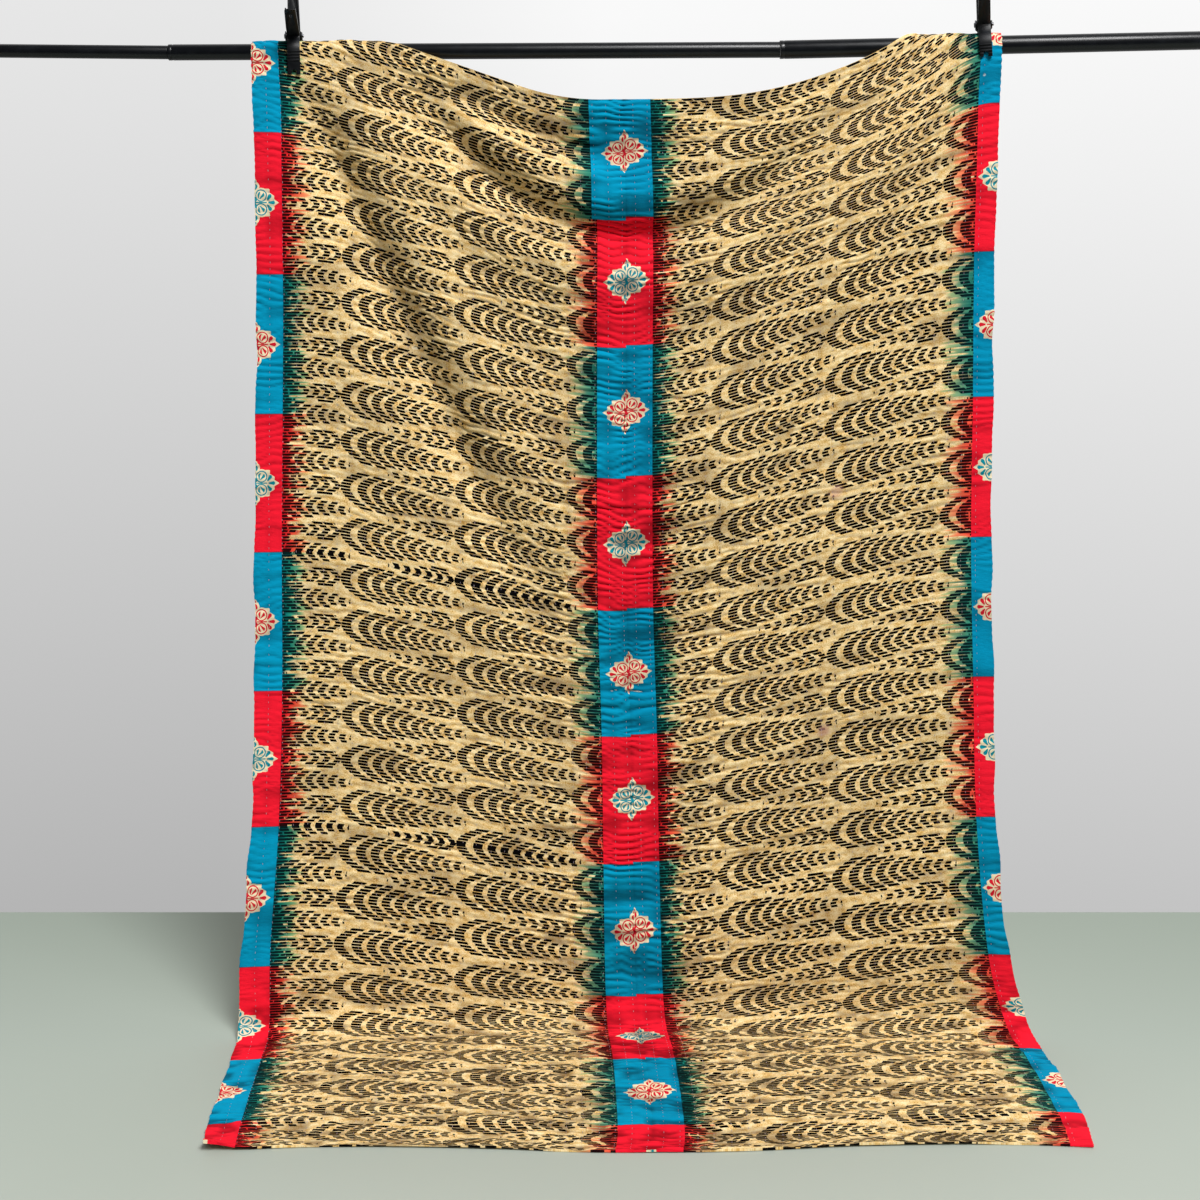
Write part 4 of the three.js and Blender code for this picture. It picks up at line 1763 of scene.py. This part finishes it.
    def rim(self, rows: list[int], columns: list[int], stride: int, base: int) -> list[list[int]]:
        """Faces that join the two faces round their edges.

        Args:
            rows: Rows of the outer face that the under face keeps.
            columns: Columns of the outer face that the under face keeps.
            stride: Points in a row of the outer face.
            base: The under face's first point.

        Returns:
            The rim's faces.
        """
        faces = []
        width = len(columns)
        for i in range(len(rows) - 1):
            for column, j, inward in ((0, 0, False), (columns[-1], width - 1, True)):
                outer = [row * stride + column for row in range(rows[i], rows[i + 1] + 1)]
                under = [base + i * width + j, base + (i + 1) * width + j]
                ring = outer + under[::-1]
                faces.append(ring if inward else ring[::-1])
        for j in range(width - 1):
            for row, i, inward in ((0, 0, True), (rows[-1], len(rows) - 1, False)):
                outer = [row * stride + column for column in range(columns[j], columns[j + 1] + 1)]
                under = [base + i * width + j, base + i * width + j + 1]
                ring = outer + under[::-1]
                faces.append(ring if inward else ring[::-1])
        return faces

    def stitch_centres(self) -> Array:
        """Where the stitches lie: in each trough along every line of stitching.

        Returns:
            Pairs of millimetres across and down.
        """
        shape, length = self.stitch, self.drape.length
        down = np.arange(shape.edge_margin, length - shape.edge_margin, 1.0)
        centres = []
        for line in np.arange(self.first_stitch_line, self.width - shape.edge_margin, self.stitch_spacing):
            sway = value_noise(self.seed + 7, down * 0.0 + line, down / shape.sway_cell)
            wander = line + shape.sway * sway
            phase = self.phase(wander, down)
            troughs = np.arange(math.ceil(phase[0]), math.floor(phase[-1]))
            place = np.interp(troughs, phase, down)
            place = place[(place > shape.end_margin) & (place < length - shape.end_margin)]
            centres.append(np.stack([np.interp(place, down, wander), place], axis=1))
        return np.concatenate(centres)

    def stitch_ring(self, place: Array) -> list[Array]:
        """Four points round every thread.

        Args:
            place: Pairs of millimetres across and down, one for each stitch.

        Returns:
            The four points of all the stitches.
        """
        shape = self.stitch
        point, normal = self.on_outer(place)
        side = np.cross(normal, np.array([0.0, 0.0, 1.0]))
        side /= np.maximum(np.linalg.norm(side, axis=1, keepdims=True), 1e-6)
        side = np.where(np.abs(normal[:, 2:3]) > UPRIGHT, np.array([[1.0, 0.0, 0.0]]), side)
        half = shape.half_width
        corners = ((-half, 0.0), (0.0, shape.crown), (half, 0.0), (0.0, -shape.root))
        return [point + side * across + normal * height for across, height in corners]

    def stitches(self) -> bpy.types.Object:
        """Running stitches, each a short thread lying in a trough of the quilting.

        Returns:
            All the length's stitches as one piece.
        """
        shape = self.stitch
        centre = self.stitch_centres()
        rng = np.random.default_rng(self.seed + 6)
        length = rng.uniform(*shape.length, len(centre))
        skew = rng.uniform(-shape.skew, shape.skew, len(centre))
        points = []
        for along in (-shape.tip, -shape.ring, shape.ring, shape.tip):
            place = centre + np.stack([skew * along, length * along], axis=1)
            if abs(along) == shape.tip:
                point, normal = self.on_outer(place)
                points.append(point + normal * shape.tip_sink)
            else:
                points += self.stitch_ring(place)
        count = len(points)
        points = np.stack(points, axis=1).reshape(-1, 3) * MM + np.array(self.origin)
        pattern = []
        for k in range(4):
            n = (k + 1) % 4
            pattern += [(0, 1 + n, 1 + k), (1 + k, 1 + n, 5 + n, 5 + k), (5 + k, 5 + n, 9)]
        faces = []
        for index in range(len(centre)):
            faces += [tuple(count * index + corner for corner in face) for face in pattern]
        piece = new_mesh(f"quilt_{self.side.value}_stitches", points, faces)
        with editing(piece):
            bpy.ops.mesh.select_all(action="SELECT")
            bpy.ops.mesh.normals_make_consistent(inside=False)
        bpy.ops.object.shade_smooth()
        return piece

    def on_outer(self, place: Array) -> tuple[Array, Array]:
        """Points and normals of the outer face at flat places.

        Args:
            place: Pairs of millimetres across and down.

        Returns:
            The points and the normals.
        """
        column = np.interp(place[:, 0], self.across, np.arange(self.columns + 1.0))
        column = np.clip(column, 0.0, self.columns - 1e-6)
        row = np.clip(place[:, 1] / self.drape.length * self.rows, 0.0, self.rows - 1e-6)
        i, j = row.astype(int), column.astype(int)
        fi, fj = (row - i)[:, None], (column - j)[:, None]

        def read(grid: Array) -> Array:
            """A grid's values between its points."""
            upper, lower = (blend(grid[k, j], grid[k, j + 1], fj) for k in (i, i + 1))
            return blend(upper, lower, fi)

        return read(self.outer), read(self.normal)

    def dress(self, piece: bpy.types.Object, stitches: bpy.types.Object) -> None:
        """Gives the length its two faces, its stitches and its place in the frame.

        Args:
            piece: The sheet.
            stitches: Its stitches.
        """
        dress(piece, self.print_finish.material(), "quilted_cotton", f"quilt_{self.side.value}_panel")
        piece.data.materials.append(self.print_finish.reverse())
        piece.data.polygons.foreach_set("material_index", self.slots)
        dress(stitches, StitchThread(f"thread_{self.side.value}").material(), "quilted_cotton")
        flat = (self.width * MM, self.drape.length * MM)


# Rod


@dataclass
class RodSection:
    """One drawn tube of the rod, with a rounded mouth and a crimped ring near its thinner neighbour."""

    node: str
    start: Vector
    end: Vector
    radius: float
    crimped: bool
    sides: int = 72
    gap: float = 0.0006
    crimp_inset: float = 0.007
    crimp_depth: float = 0.0006
    crimp_half: float = 0.0016
    crimp_reach: float = 0.0002
    mouth_wall: float = 0.0017
    mouth_depth: float = 0.0014
    rounding: float = 0.0008

    def build(self) -> bpy.types.Object:
        """Builds the tube along its axis.

        Returns:
            The section in its place.
        """
        way = self.end - self.start
        length = way.length - self.gap
        deselect_all()
        bpy.ops.mesh.primitive_cylinder_add(vertices=self.sides, radius=self.radius, depth=length)
        piece = bpy.context.object
        piece.name = self.node.replace("_section", "_tube")
        with editing(piece):
            for sign in (-1.0, 1.0):
                select_ends(piece, sign)
                bpy.ops.mesh.inset(thickness=self.mouth_wall)
                extrude(-self.mouth_depth * sign)
            if self.crimped:
                self.crimp(piece, -length / 2.0 + self.crimp_inset)
        round_edges(piece, self.rounding)
        turn = Vector((0, 0, 1)).rotation_difference(way.normalized()).to_matrix().to_4x4()
        settle(piece, Matrix.Translation((self.start + self.end) / 2.0) @ turn)
        return piece

    def crimp(self, piece: bpy.types.Object, place: float) -> None:
        """Presses a shallow ring into the tube.

        Args:
            piece: The tube in edit mode, upright at the origin.
            place: The ring's height.
        """
        for offset in (-self.crimp_half, 0.0, self.crimp_half):
            bpy.ops.mesh.select_all(action="SELECT")
            bpy.ops.mesh.bisect(plane_co=(0, 0, place + offset), plane_no=(0, 0, 1))
        bpy.ops.mesh.select_all(action="DESELECT")
        bpy.ops.mesh.select_mode(type="VERT")
        grid = bmesh.from_edit_mesh(piece.data)
        for vertex in grid.verts:
            vertex.select_set(abs(vertex.co.z - place) < self.crimp_reach)
        bmesh.update_edit_mesh(piece.data)
        share = 1.0 - self.crimp_depth / self.radius
        bpy.ops.transform.resize(value=(share, share, 1.0), center_override=(0, 0, place))
        bpy.ops.mesh.select_mode(type="FACE")


@dataclass
class TelescopicRod:
    """The three sections that slide into each other, thicker to the right."""

    depth: float
    nodes: tuple[str, ...] = ("rod_left_section", "rod_middle_section", "rod_right_section")

    def build(self) -> list[bpy.types.Object]:
        """Builds the three sections.

        Returns:
            The sections.
        """
        pieces = []
        for index, node in enumerate(self.nodes):
            start, end = (Vector((x * MM, self.depth, z * MM)) for x, z in ROD_POINTS[index : index + 2])
            pieces.append(RodSection(node, start, end, ROD_RADII[index] * MM, index > 0).build())
        return pieces

    def dress(self, pieces: list[bpy.types.Object]) -> None:
        """Paints the sections and gives them their places in the frame.

        Args:
            pieces: The sections.
        """
        paint_finish = SatinPaint().material()
        for piece, node in zip(pieces, self.nodes):
            dress(piece, paint_finish, "rod", node)


# Clamps


@dataclass
class SpringClamp:
    """A hand clamp of two moulded levers on a pin, with a coil spring between them."""

    side: Side
    grip: Vector
    pivot_height: float
    tip: float
    turn: float
    leans: dict[Face, float]
    pivot_offset: float = 0.010
    handle_length: float = 0.076
    wall: float = 0.004
    half_width: float = 0.0105
    tip_half_width: float = 0.0092
    flange_depth: float = 0.0055
    flange_wall: float = 0.0022
    flange_start: float = 0.012
    flange_end: float = 0.007
    flange_sink: float = 0.0003
    flange_inset: float = 0.0004
    flange_slope: float = 0.35
    moulding_rounding: float = 0.0005
    rivet_radius: float = 0.0024
    rivet_length: float = 0.0286
    rivet_rounding: float = 0.0003
    head_spread: float = 1.875
    head_height: float = 0.0012
    dome_height: float = 0.0008
    dome_share: float = 0.62
    coil_radius: float = 0.0047
    wire: float = 0.0009
    coils: int = 5
    coil_half: float = 0.0066
    coil_steps: int = 24
    coil_sharp: float = 50.0
    leg: float = 0.011

    @property
    def place(self) -> Matrix:
        """The clamp's place, its origin on the rod's axis."""
        turn = turned(0.0, math.radians(self.tip), 0.0) @ turned(0.0, 0.0, math.radians(self.turn))
        return Matrix.Translation(self.grip) @ turn

    def node(self, name: str) -> str:
        """The name of one of the clamp's solids."""
        return f"clamp_{self.side.value}_{name}"

    def lever(self, face: Face) -> bpy.types.Object:
        """A moulded lever: its solid with flanged handle sides and rounded edges.

        Args:
            face: Which lever.

        Returns:
            The lever.
        """
        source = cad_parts[self.node(f"{face.name.lower()}_lever")]
        body = source.copy()
        body.data = source.data.copy()
        body.parent = None
        for key in list(body.keys()):
            del body[key]
        bpy.context.scene.collection.objects.link(body)
        body.name = self.node(f"{face.name.lower()}_moulding")
        with editing(body):
            bpy.ops.mesh.select_all(action="SELECT")
            bpy.ops.mesh.remove_doubles(threshold=0.00001)
            bpy.ops.mesh.dissolve_limited(angle_limit=math.radians(1.5))
        flanges = [self.flange(face, sign) for sign in (-1.0, 1.0)]
        for piece in (body, *flanges):
            round_edges(piece, self.moulding_rounding, segments=2)
        make_active(body)
        for piece in flanges:
            piece.select_set(True)
        bpy.ops.object.join()
        return body

    def flange(self, face: Face, sign: float) -> bpy.types.Object:
        """One side wall of a handle, standing in towards the other lever.

        Args:
            face: Which lever.
            sign: Which side of the handle.

        Returns:
            The wall, in its place.
        """
        lean = math.radians(self.leans[face])
        start, end = self.flange_start, self.handle_length - self.flange_end
        deselect_all()
        bpy.ops.mesh.primitive_cube_add(size=1.0)
        piece = bpy.context.object
        piece.scale = (self.flange_wall, self.flange_depth, end - start)
        inset = self.wall / 2.0 - self.flange_sink + self.flange_depth / 2.0
        aside = self.half_width - self.flange_wall / 2.0 - self.flange_inset
        piece.location = (sign * aside, -face.value * inset, (start + end) / 2.0)
        bpy.ops.object.transform_apply(location=True, rotation=True, scale=True)
        with editing(piece):
            select_ends(piece, 1.0)
            narrowing = self.half_width - self.tip_half_width
            bpy.ops.transform.translate(value=(-sign * narrowing, 0.0, 0.0))
            select_ends(piece, -1.0)
            slope = face.value * self.flange_depth * self.flange_slope
            bpy.ops.transform.translate(value=(0.0, slope, 0.0))
        handle = Matrix.Translation((0.0, face.value * self.pivot_offset, self.pivot_height))
        settle(piece, self.place @ handle @ turned(-face.value * lean, 0.0, 0.0))
        return piece

    def pin(self) -> bpy.types.Object:
        """A rivet with two domed heads.

        Returns:
            The pin.
        """
        deselect_all()
        size = {"radius": self.rivet_radius, "depth": self.rivet_length}
        bpy.ops.mesh.primitive_cylinder_add(vertices=32, **size)
        piece = bpy.context.object
        piece.name = self.node("rivet")
        with editing(piece):
            for sign in (-1.0, 1.0):
                select_ends(piece, sign)
                extrude(0.0)
                bpy.ops.transform.resize(value=(self.head_spread, self.head_spread, 1.0))
                extrude(self.head_height * sign)
                extrude(self.dome_height * sign)
                bpy.ops.transform.resize(value=(self.dome_share, self.dome_share, 1.0))
        round_edges(piece, self.rivet_rounding, segments=2)
        self.lay_on_pivot(piece)
        return piece

    def spring(self) -> bpy.types.Object:
        """A coil of round wire whose two ends run up behind the handles.

        Returns:
            The spring.
        """
        deselect_all()
        bpy.ops.mesh.primitive_circle_add(
            vertices=10, radius=self.wire, location=(self.coil_radius, 0.0, -self.coil_half),
            rotation=(math.pi / 2.0, 0.0, 0.0),
        )
        piece = bpy.context.object
        piece.name = self.node("coil")
        bpy.ops.object.transform_apply(location=True, rotation=True, scale=True)
        steps = self.coil_steps * self.coils
        apply_modifier(
            piece, "SCREW", angle=2.0 * math.pi * self.coils, screw_offset=2.0 * self.coil_half,
            steps=steps, render_steps=steps, axis="Z", use_merge_vertices=True,
        )
        with editing(piece):
            for level in (-self.coil_half, self.coil_half):
                bpy.ops.mesh.select_mode(type="EDGE")
                bpy.ops.mesh.select_all(action="DESELECT")
                grid = bmesh.from_edit_mesh(piece.data)
                for edge in grid.edges:
                    middle = (edge.verts[0].co + edge.verts[1].co) / 2.0
                    edge.select_set(edge.is_boundary and abs(middle.z - level) < self.wire * 1.2)
                bmesh.update_edit_mesh(piece.data)
                run = math.copysign(self.leg, level)
                bpy.ops.mesh.extrude_edges_move(TRANSFORM_OT_translate={"value": (0.0, run, 0.0)})
                bpy.ops.mesh.edge_face_add()
            bpy.ops.mesh.select_all(action="SELECT")
            bpy.ops.mesh.normals_make_consistent(inside=False)
        smooth_faces(piece, self.coil_sharp)
        self.lay_on_pivot(piece)
        return piece

    def lay_on_pivot(self, piece: bpy.types.Object) -> None:
        """Turns an upright piece on to the pivot's axis."""
        axis = Matrix.Translation((0.0, 0.0, self.pivot_height))
        settle(piece, self.place @ axis @ turned(0.0, math.pi / 2.0, 0.0))

    def build(self) -> list[bpy.types.Object]:
        """Builds the two levers, the pin and the spring."""
        return [*(self.lever(face) for face in Face), self.pin(), self.spring()]

    def dress(
        self, pieces: list[bpy.types.Object], plastic: bpy.types.Material, steel: bpy.types.Material,
    ) -> None:
        """Gives the pieces their materials and their places in the frame.

        Args:
            pieces: The levers, the pin and the spring.
            plastic: The levers' material.
            steel: The pin's and spring's material.
        """
        levers = len(Face)
        for piece, face in zip(pieces, Face):
            dress(piece, plastic, "lever", self.node(f"{face.name.lower()}_lever"))
        for piece, name in zip(pieces[levers:], ("pin", "spring")):
            dress(piece, steel, "clamp_steel", self.node(name))


# Studio


class Fade(NamedTuple):
    """How the surround brightens along one axis of the way of looking."""

    axis: str
    start: float
    end: float
    dim: float
    bright: float
    easing: str = "LINEAR"


@dataclass
class Studio:
    """A plain pale floor, soft light and the camera."""

    rod_depth: float
    camera_distance: float = 3.05
    camera_height: float = 1.30
    camera_pitch: float = 3.24
    lens: float = 53.61
    sensor: float = 36.0
    shift: float = -0.19
    floor_end: float = 0.51
    floor_size: Span = (9.0, 2.8)
    key_way: tuple[float, float, float] = (0.42, -0.78, 0.96)
    key_strength: float = 2.7
    key_spread: float = 20.0
    fill_place: tuple[float, float, float] = (1.0, -1.8, 3.6)
    fill_target: float = 0.9
    fill_size: Span = (2.0, 1.4)
    fill_power: float = 56.0
    fades: tuple[Fade, ...] = (
        Fade("Y", -0.2, 0.6, 0.1, 1.0, "SMOOTHSTEP"),
        # Painted fall-off of light: the surround darker lower down, as on a wall.
        Fade("Z", -0.36, 0.14, 0.52, 0.95),
        # Painted shadow of the cloth: the surround darker to the left.
        Fade("X", -0.2, 0.0, 0.84, 1.0),
    )

    def floor(self) -> None:
        """The floor, up to the line where the backdrop starts."""
        width, depth = self.floor_size
        deselect_all()
        bpy.ops.mesh.primitive_plane_add(size=1.0)
        piece = bpy.context.object
        piece.name = "floor"
        piece.scale = (width, depth, 1.0)
        piece.location = (0.0, self.rod_depth + self.floor_end - depth / 2.0, 0.0)
        bpy.ops.object.transform_apply(location=True, rotation=True, scale=True)
        piece.data.materials.append(StudioFloor().material())

    def camera(self) -> None:
        """The camera, at the photograph's angle."""
        data = bpy.data.cameras.new("camera")
        data.lens = self.lens
        data.sensor_width = self.sensor
        data.shift_y = self.shift
        camera = bpy.data.objects.new("camera", data)
        camera.location = (0.0, self.rod_depth - self.camera_distance, self.camera_height)
        camera.rotation_euler = (math.radians(90.0 - self.camera_pitch), 0.0, 0.0)
        bpy.context.scene.collection.objects.link(camera)
        bpy.context.scene.camera = camera

    def hang(self, data: bpy.types.Light, place: Vector, way: Vector) -> None:
        """Hangs a light.

        Args:
            data: The light.
            place: Where it hangs.
            way: The way it shines.
        """
        light = bpy.data.objects.new(data.name, data)
        light.location = place
        light.rotation_euler = way.to_track_quat("-Z", "Y").to_euler()
        bpy.context.scene.collection.objects.link(light)

    def lights(self) -> None:
        """A broad sun from the upper right in front, and a soft fill above it."""
        key = bpy.data.lights.new("key", "SUN")
        key.energy = self.key_strength
        key.angle = math.radians(self.key_spread)
        self.hang(key, Vector(), -Vector(self.key_way))
        fill = bpy.data.lights.new("fill", "AREA")
        fill.shape = "RECTANGLE"
        fill.size, fill.size_y = self.fill_size
        fill.energy = self.fill_power
        place = Vector(self.fill_place)
        self.hang(fill, place, Vector((0.0, self.rod_depth, self.fill_target)) - place)

    def surround(self) -> None:
        """A white surround, dimmer behind the viewer, with a painted fall-off of light lower down and a
        painted shadow of the cloth to the left.
        """
        world = bpy.data.worlds.new("surround")
        world.use_nodes = True
        nodes, links = world.node_tree.nodes, world.node_tree.links
        way = nodes.new(SEPARATE)
        links.new(nodes.new("ShaderNodeTexCoord").outputs["Generated"], way.inputs[0])
        shares = []
        for fade in self.fades:
            node = nodes.new(MAP_RANGE)
            node.interpolation_type = fade.easing
            for name, value in zip(("From Min", "From Max", "To Min", "To Max"), fade[1:5]):
                node.inputs[name].default_value = value
            links.new(way.outputs[fade.axis], node.inputs["Value"])
            shares.append(node.outputs["Result"])
        strength = shares[0]
        for share in shares[1:]:
            product = nodes.new("ShaderNodeMath")
            product.operation = "MULTIPLY"
            links.new(strength, product.inputs[0])
            links.new(share, product.inputs[1])
            strength = product.outputs["Value"]
        background = nodes["Background"]
        background.inputs["Color"].default_value = (1.0, 1.0, 1.0, 1.0)
        links.new(strength, background.inputs["Strength"])
        bpy.context.scene.world = world

    def build(self) -> None:
        """Builds the floor, lights, surround and camera."""
        self.floor()
        self.lights()
        self.surround()
        self.camera()
        view = bpy.context.scene.view_settings
        view.view_transform = "Standard"
        view.look = "None"


# The whole


def quilt_panels(origin: Vector) -> list[QuiltPanel]:
    """The two lengths, each with its own dye and marks.

    Args:
        origin: The drape's origin in the frame.

    Returns:
        The left and the right length.
    """
    pink = paint(206, 150, 140)
    left_print = CottonPrint(
        "print_left", blue=paint(2, 150, 190), red=paint(246, 28, 50), top_spread=9.0,
        heavy_edges=(4.0, 6.0),
    )
    right_print = CottonPrint(
        "print_right", blue=paint(2, 143, 183), red=paint(244, 28, 50), shift=5.0,
        layout=PrintLayout(repeat=668.0),
        spots=(
            Spot(380.0, 814.0, 16.0, pink, 0.5),
            Spot(353.0, 1233.0, 15.0, pink, 0.55),
            Spot(276.0, 921.0, 9.0, paint(28, 24, 24), 0.8),
            Spot(631.0, 171.0, 2.8, paint(210, 232, 236), 0.9),
        ),
    )
    return [
        QuiltPanel(Side.LEFT, width=676.0, print_finish=left_print, origin=origin),
        QuiltPanel(
            Side.RIGHT, width=658.0, print_finish=right_print, origin=origin, stitch_spacing=25.6,
            first_stitch_line=16.0,
        ),
    ]


def spring_clamps(rod_depth: float, drape: Drape) -> list[SpringClamp]:
    """The two clamps where they grip the rod.

    Args:
        rod_depth: The rod axis's Y in metres.
        drape: The drape, which knows the rod's height.

    Returns:
        The left and the right clamp.
    """
    return [
        SpringClamp(
            Side.LEFT, drape.rod_point(-517.0, rod_depth), pivot_height=0.0265, tip=-1.5, turn=5.5,
            leans={Face.FRONT: 63.0, Face.BACK: 2.0},
        ),
        SpringClamp(
            Side.RIGHT, drape.rod_point(651.0, rod_depth), pivot_height=0.0345, tip=-3.5, turn=-9.0,
            leans={Face.FRONT: 52.0, Face.BACK: 2.0},
        ),
    ]


def report(*pieces: bpy.types.Object) -> None:
    """Logs the pieces that were built."""
    for piece in pieces:
        LOG.info("%s: %d faces", piece.name, len(piece.data.polygons))


def main() -> None:
    """Builds the dressed object piece by piece, and its studio."""
    logging.basicConfig(level=logging.INFO, format="%(message)s")
    low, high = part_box("rod_middle_section")
    rod_depth = (low.y + high.y) / 2.0
    Studio(rod_depth).build()
    for panel in quilt_panels(Vector((0.0, rod_depth, 0.0))):
        piece = panel.build()
        stitches = panel.stitches()
        panel.dress(piece, stitches)
        report(piece, stitches)
    rod = TelescopicRod(rod_depth)
    sections = rod.build()
    rod.dress(sections)
    report(*sections)
    plastic, steel = MouldedPlastic().material(), DarkSteel().material()
    for clamp in spring_clamps(rod_depth, Drape()):
        pieces = clamp.build()
        clamp.dress(pieces, plastic, steel)
        report(*pieces)
    deselect_all()


if __name__ == "__main__":
    main()
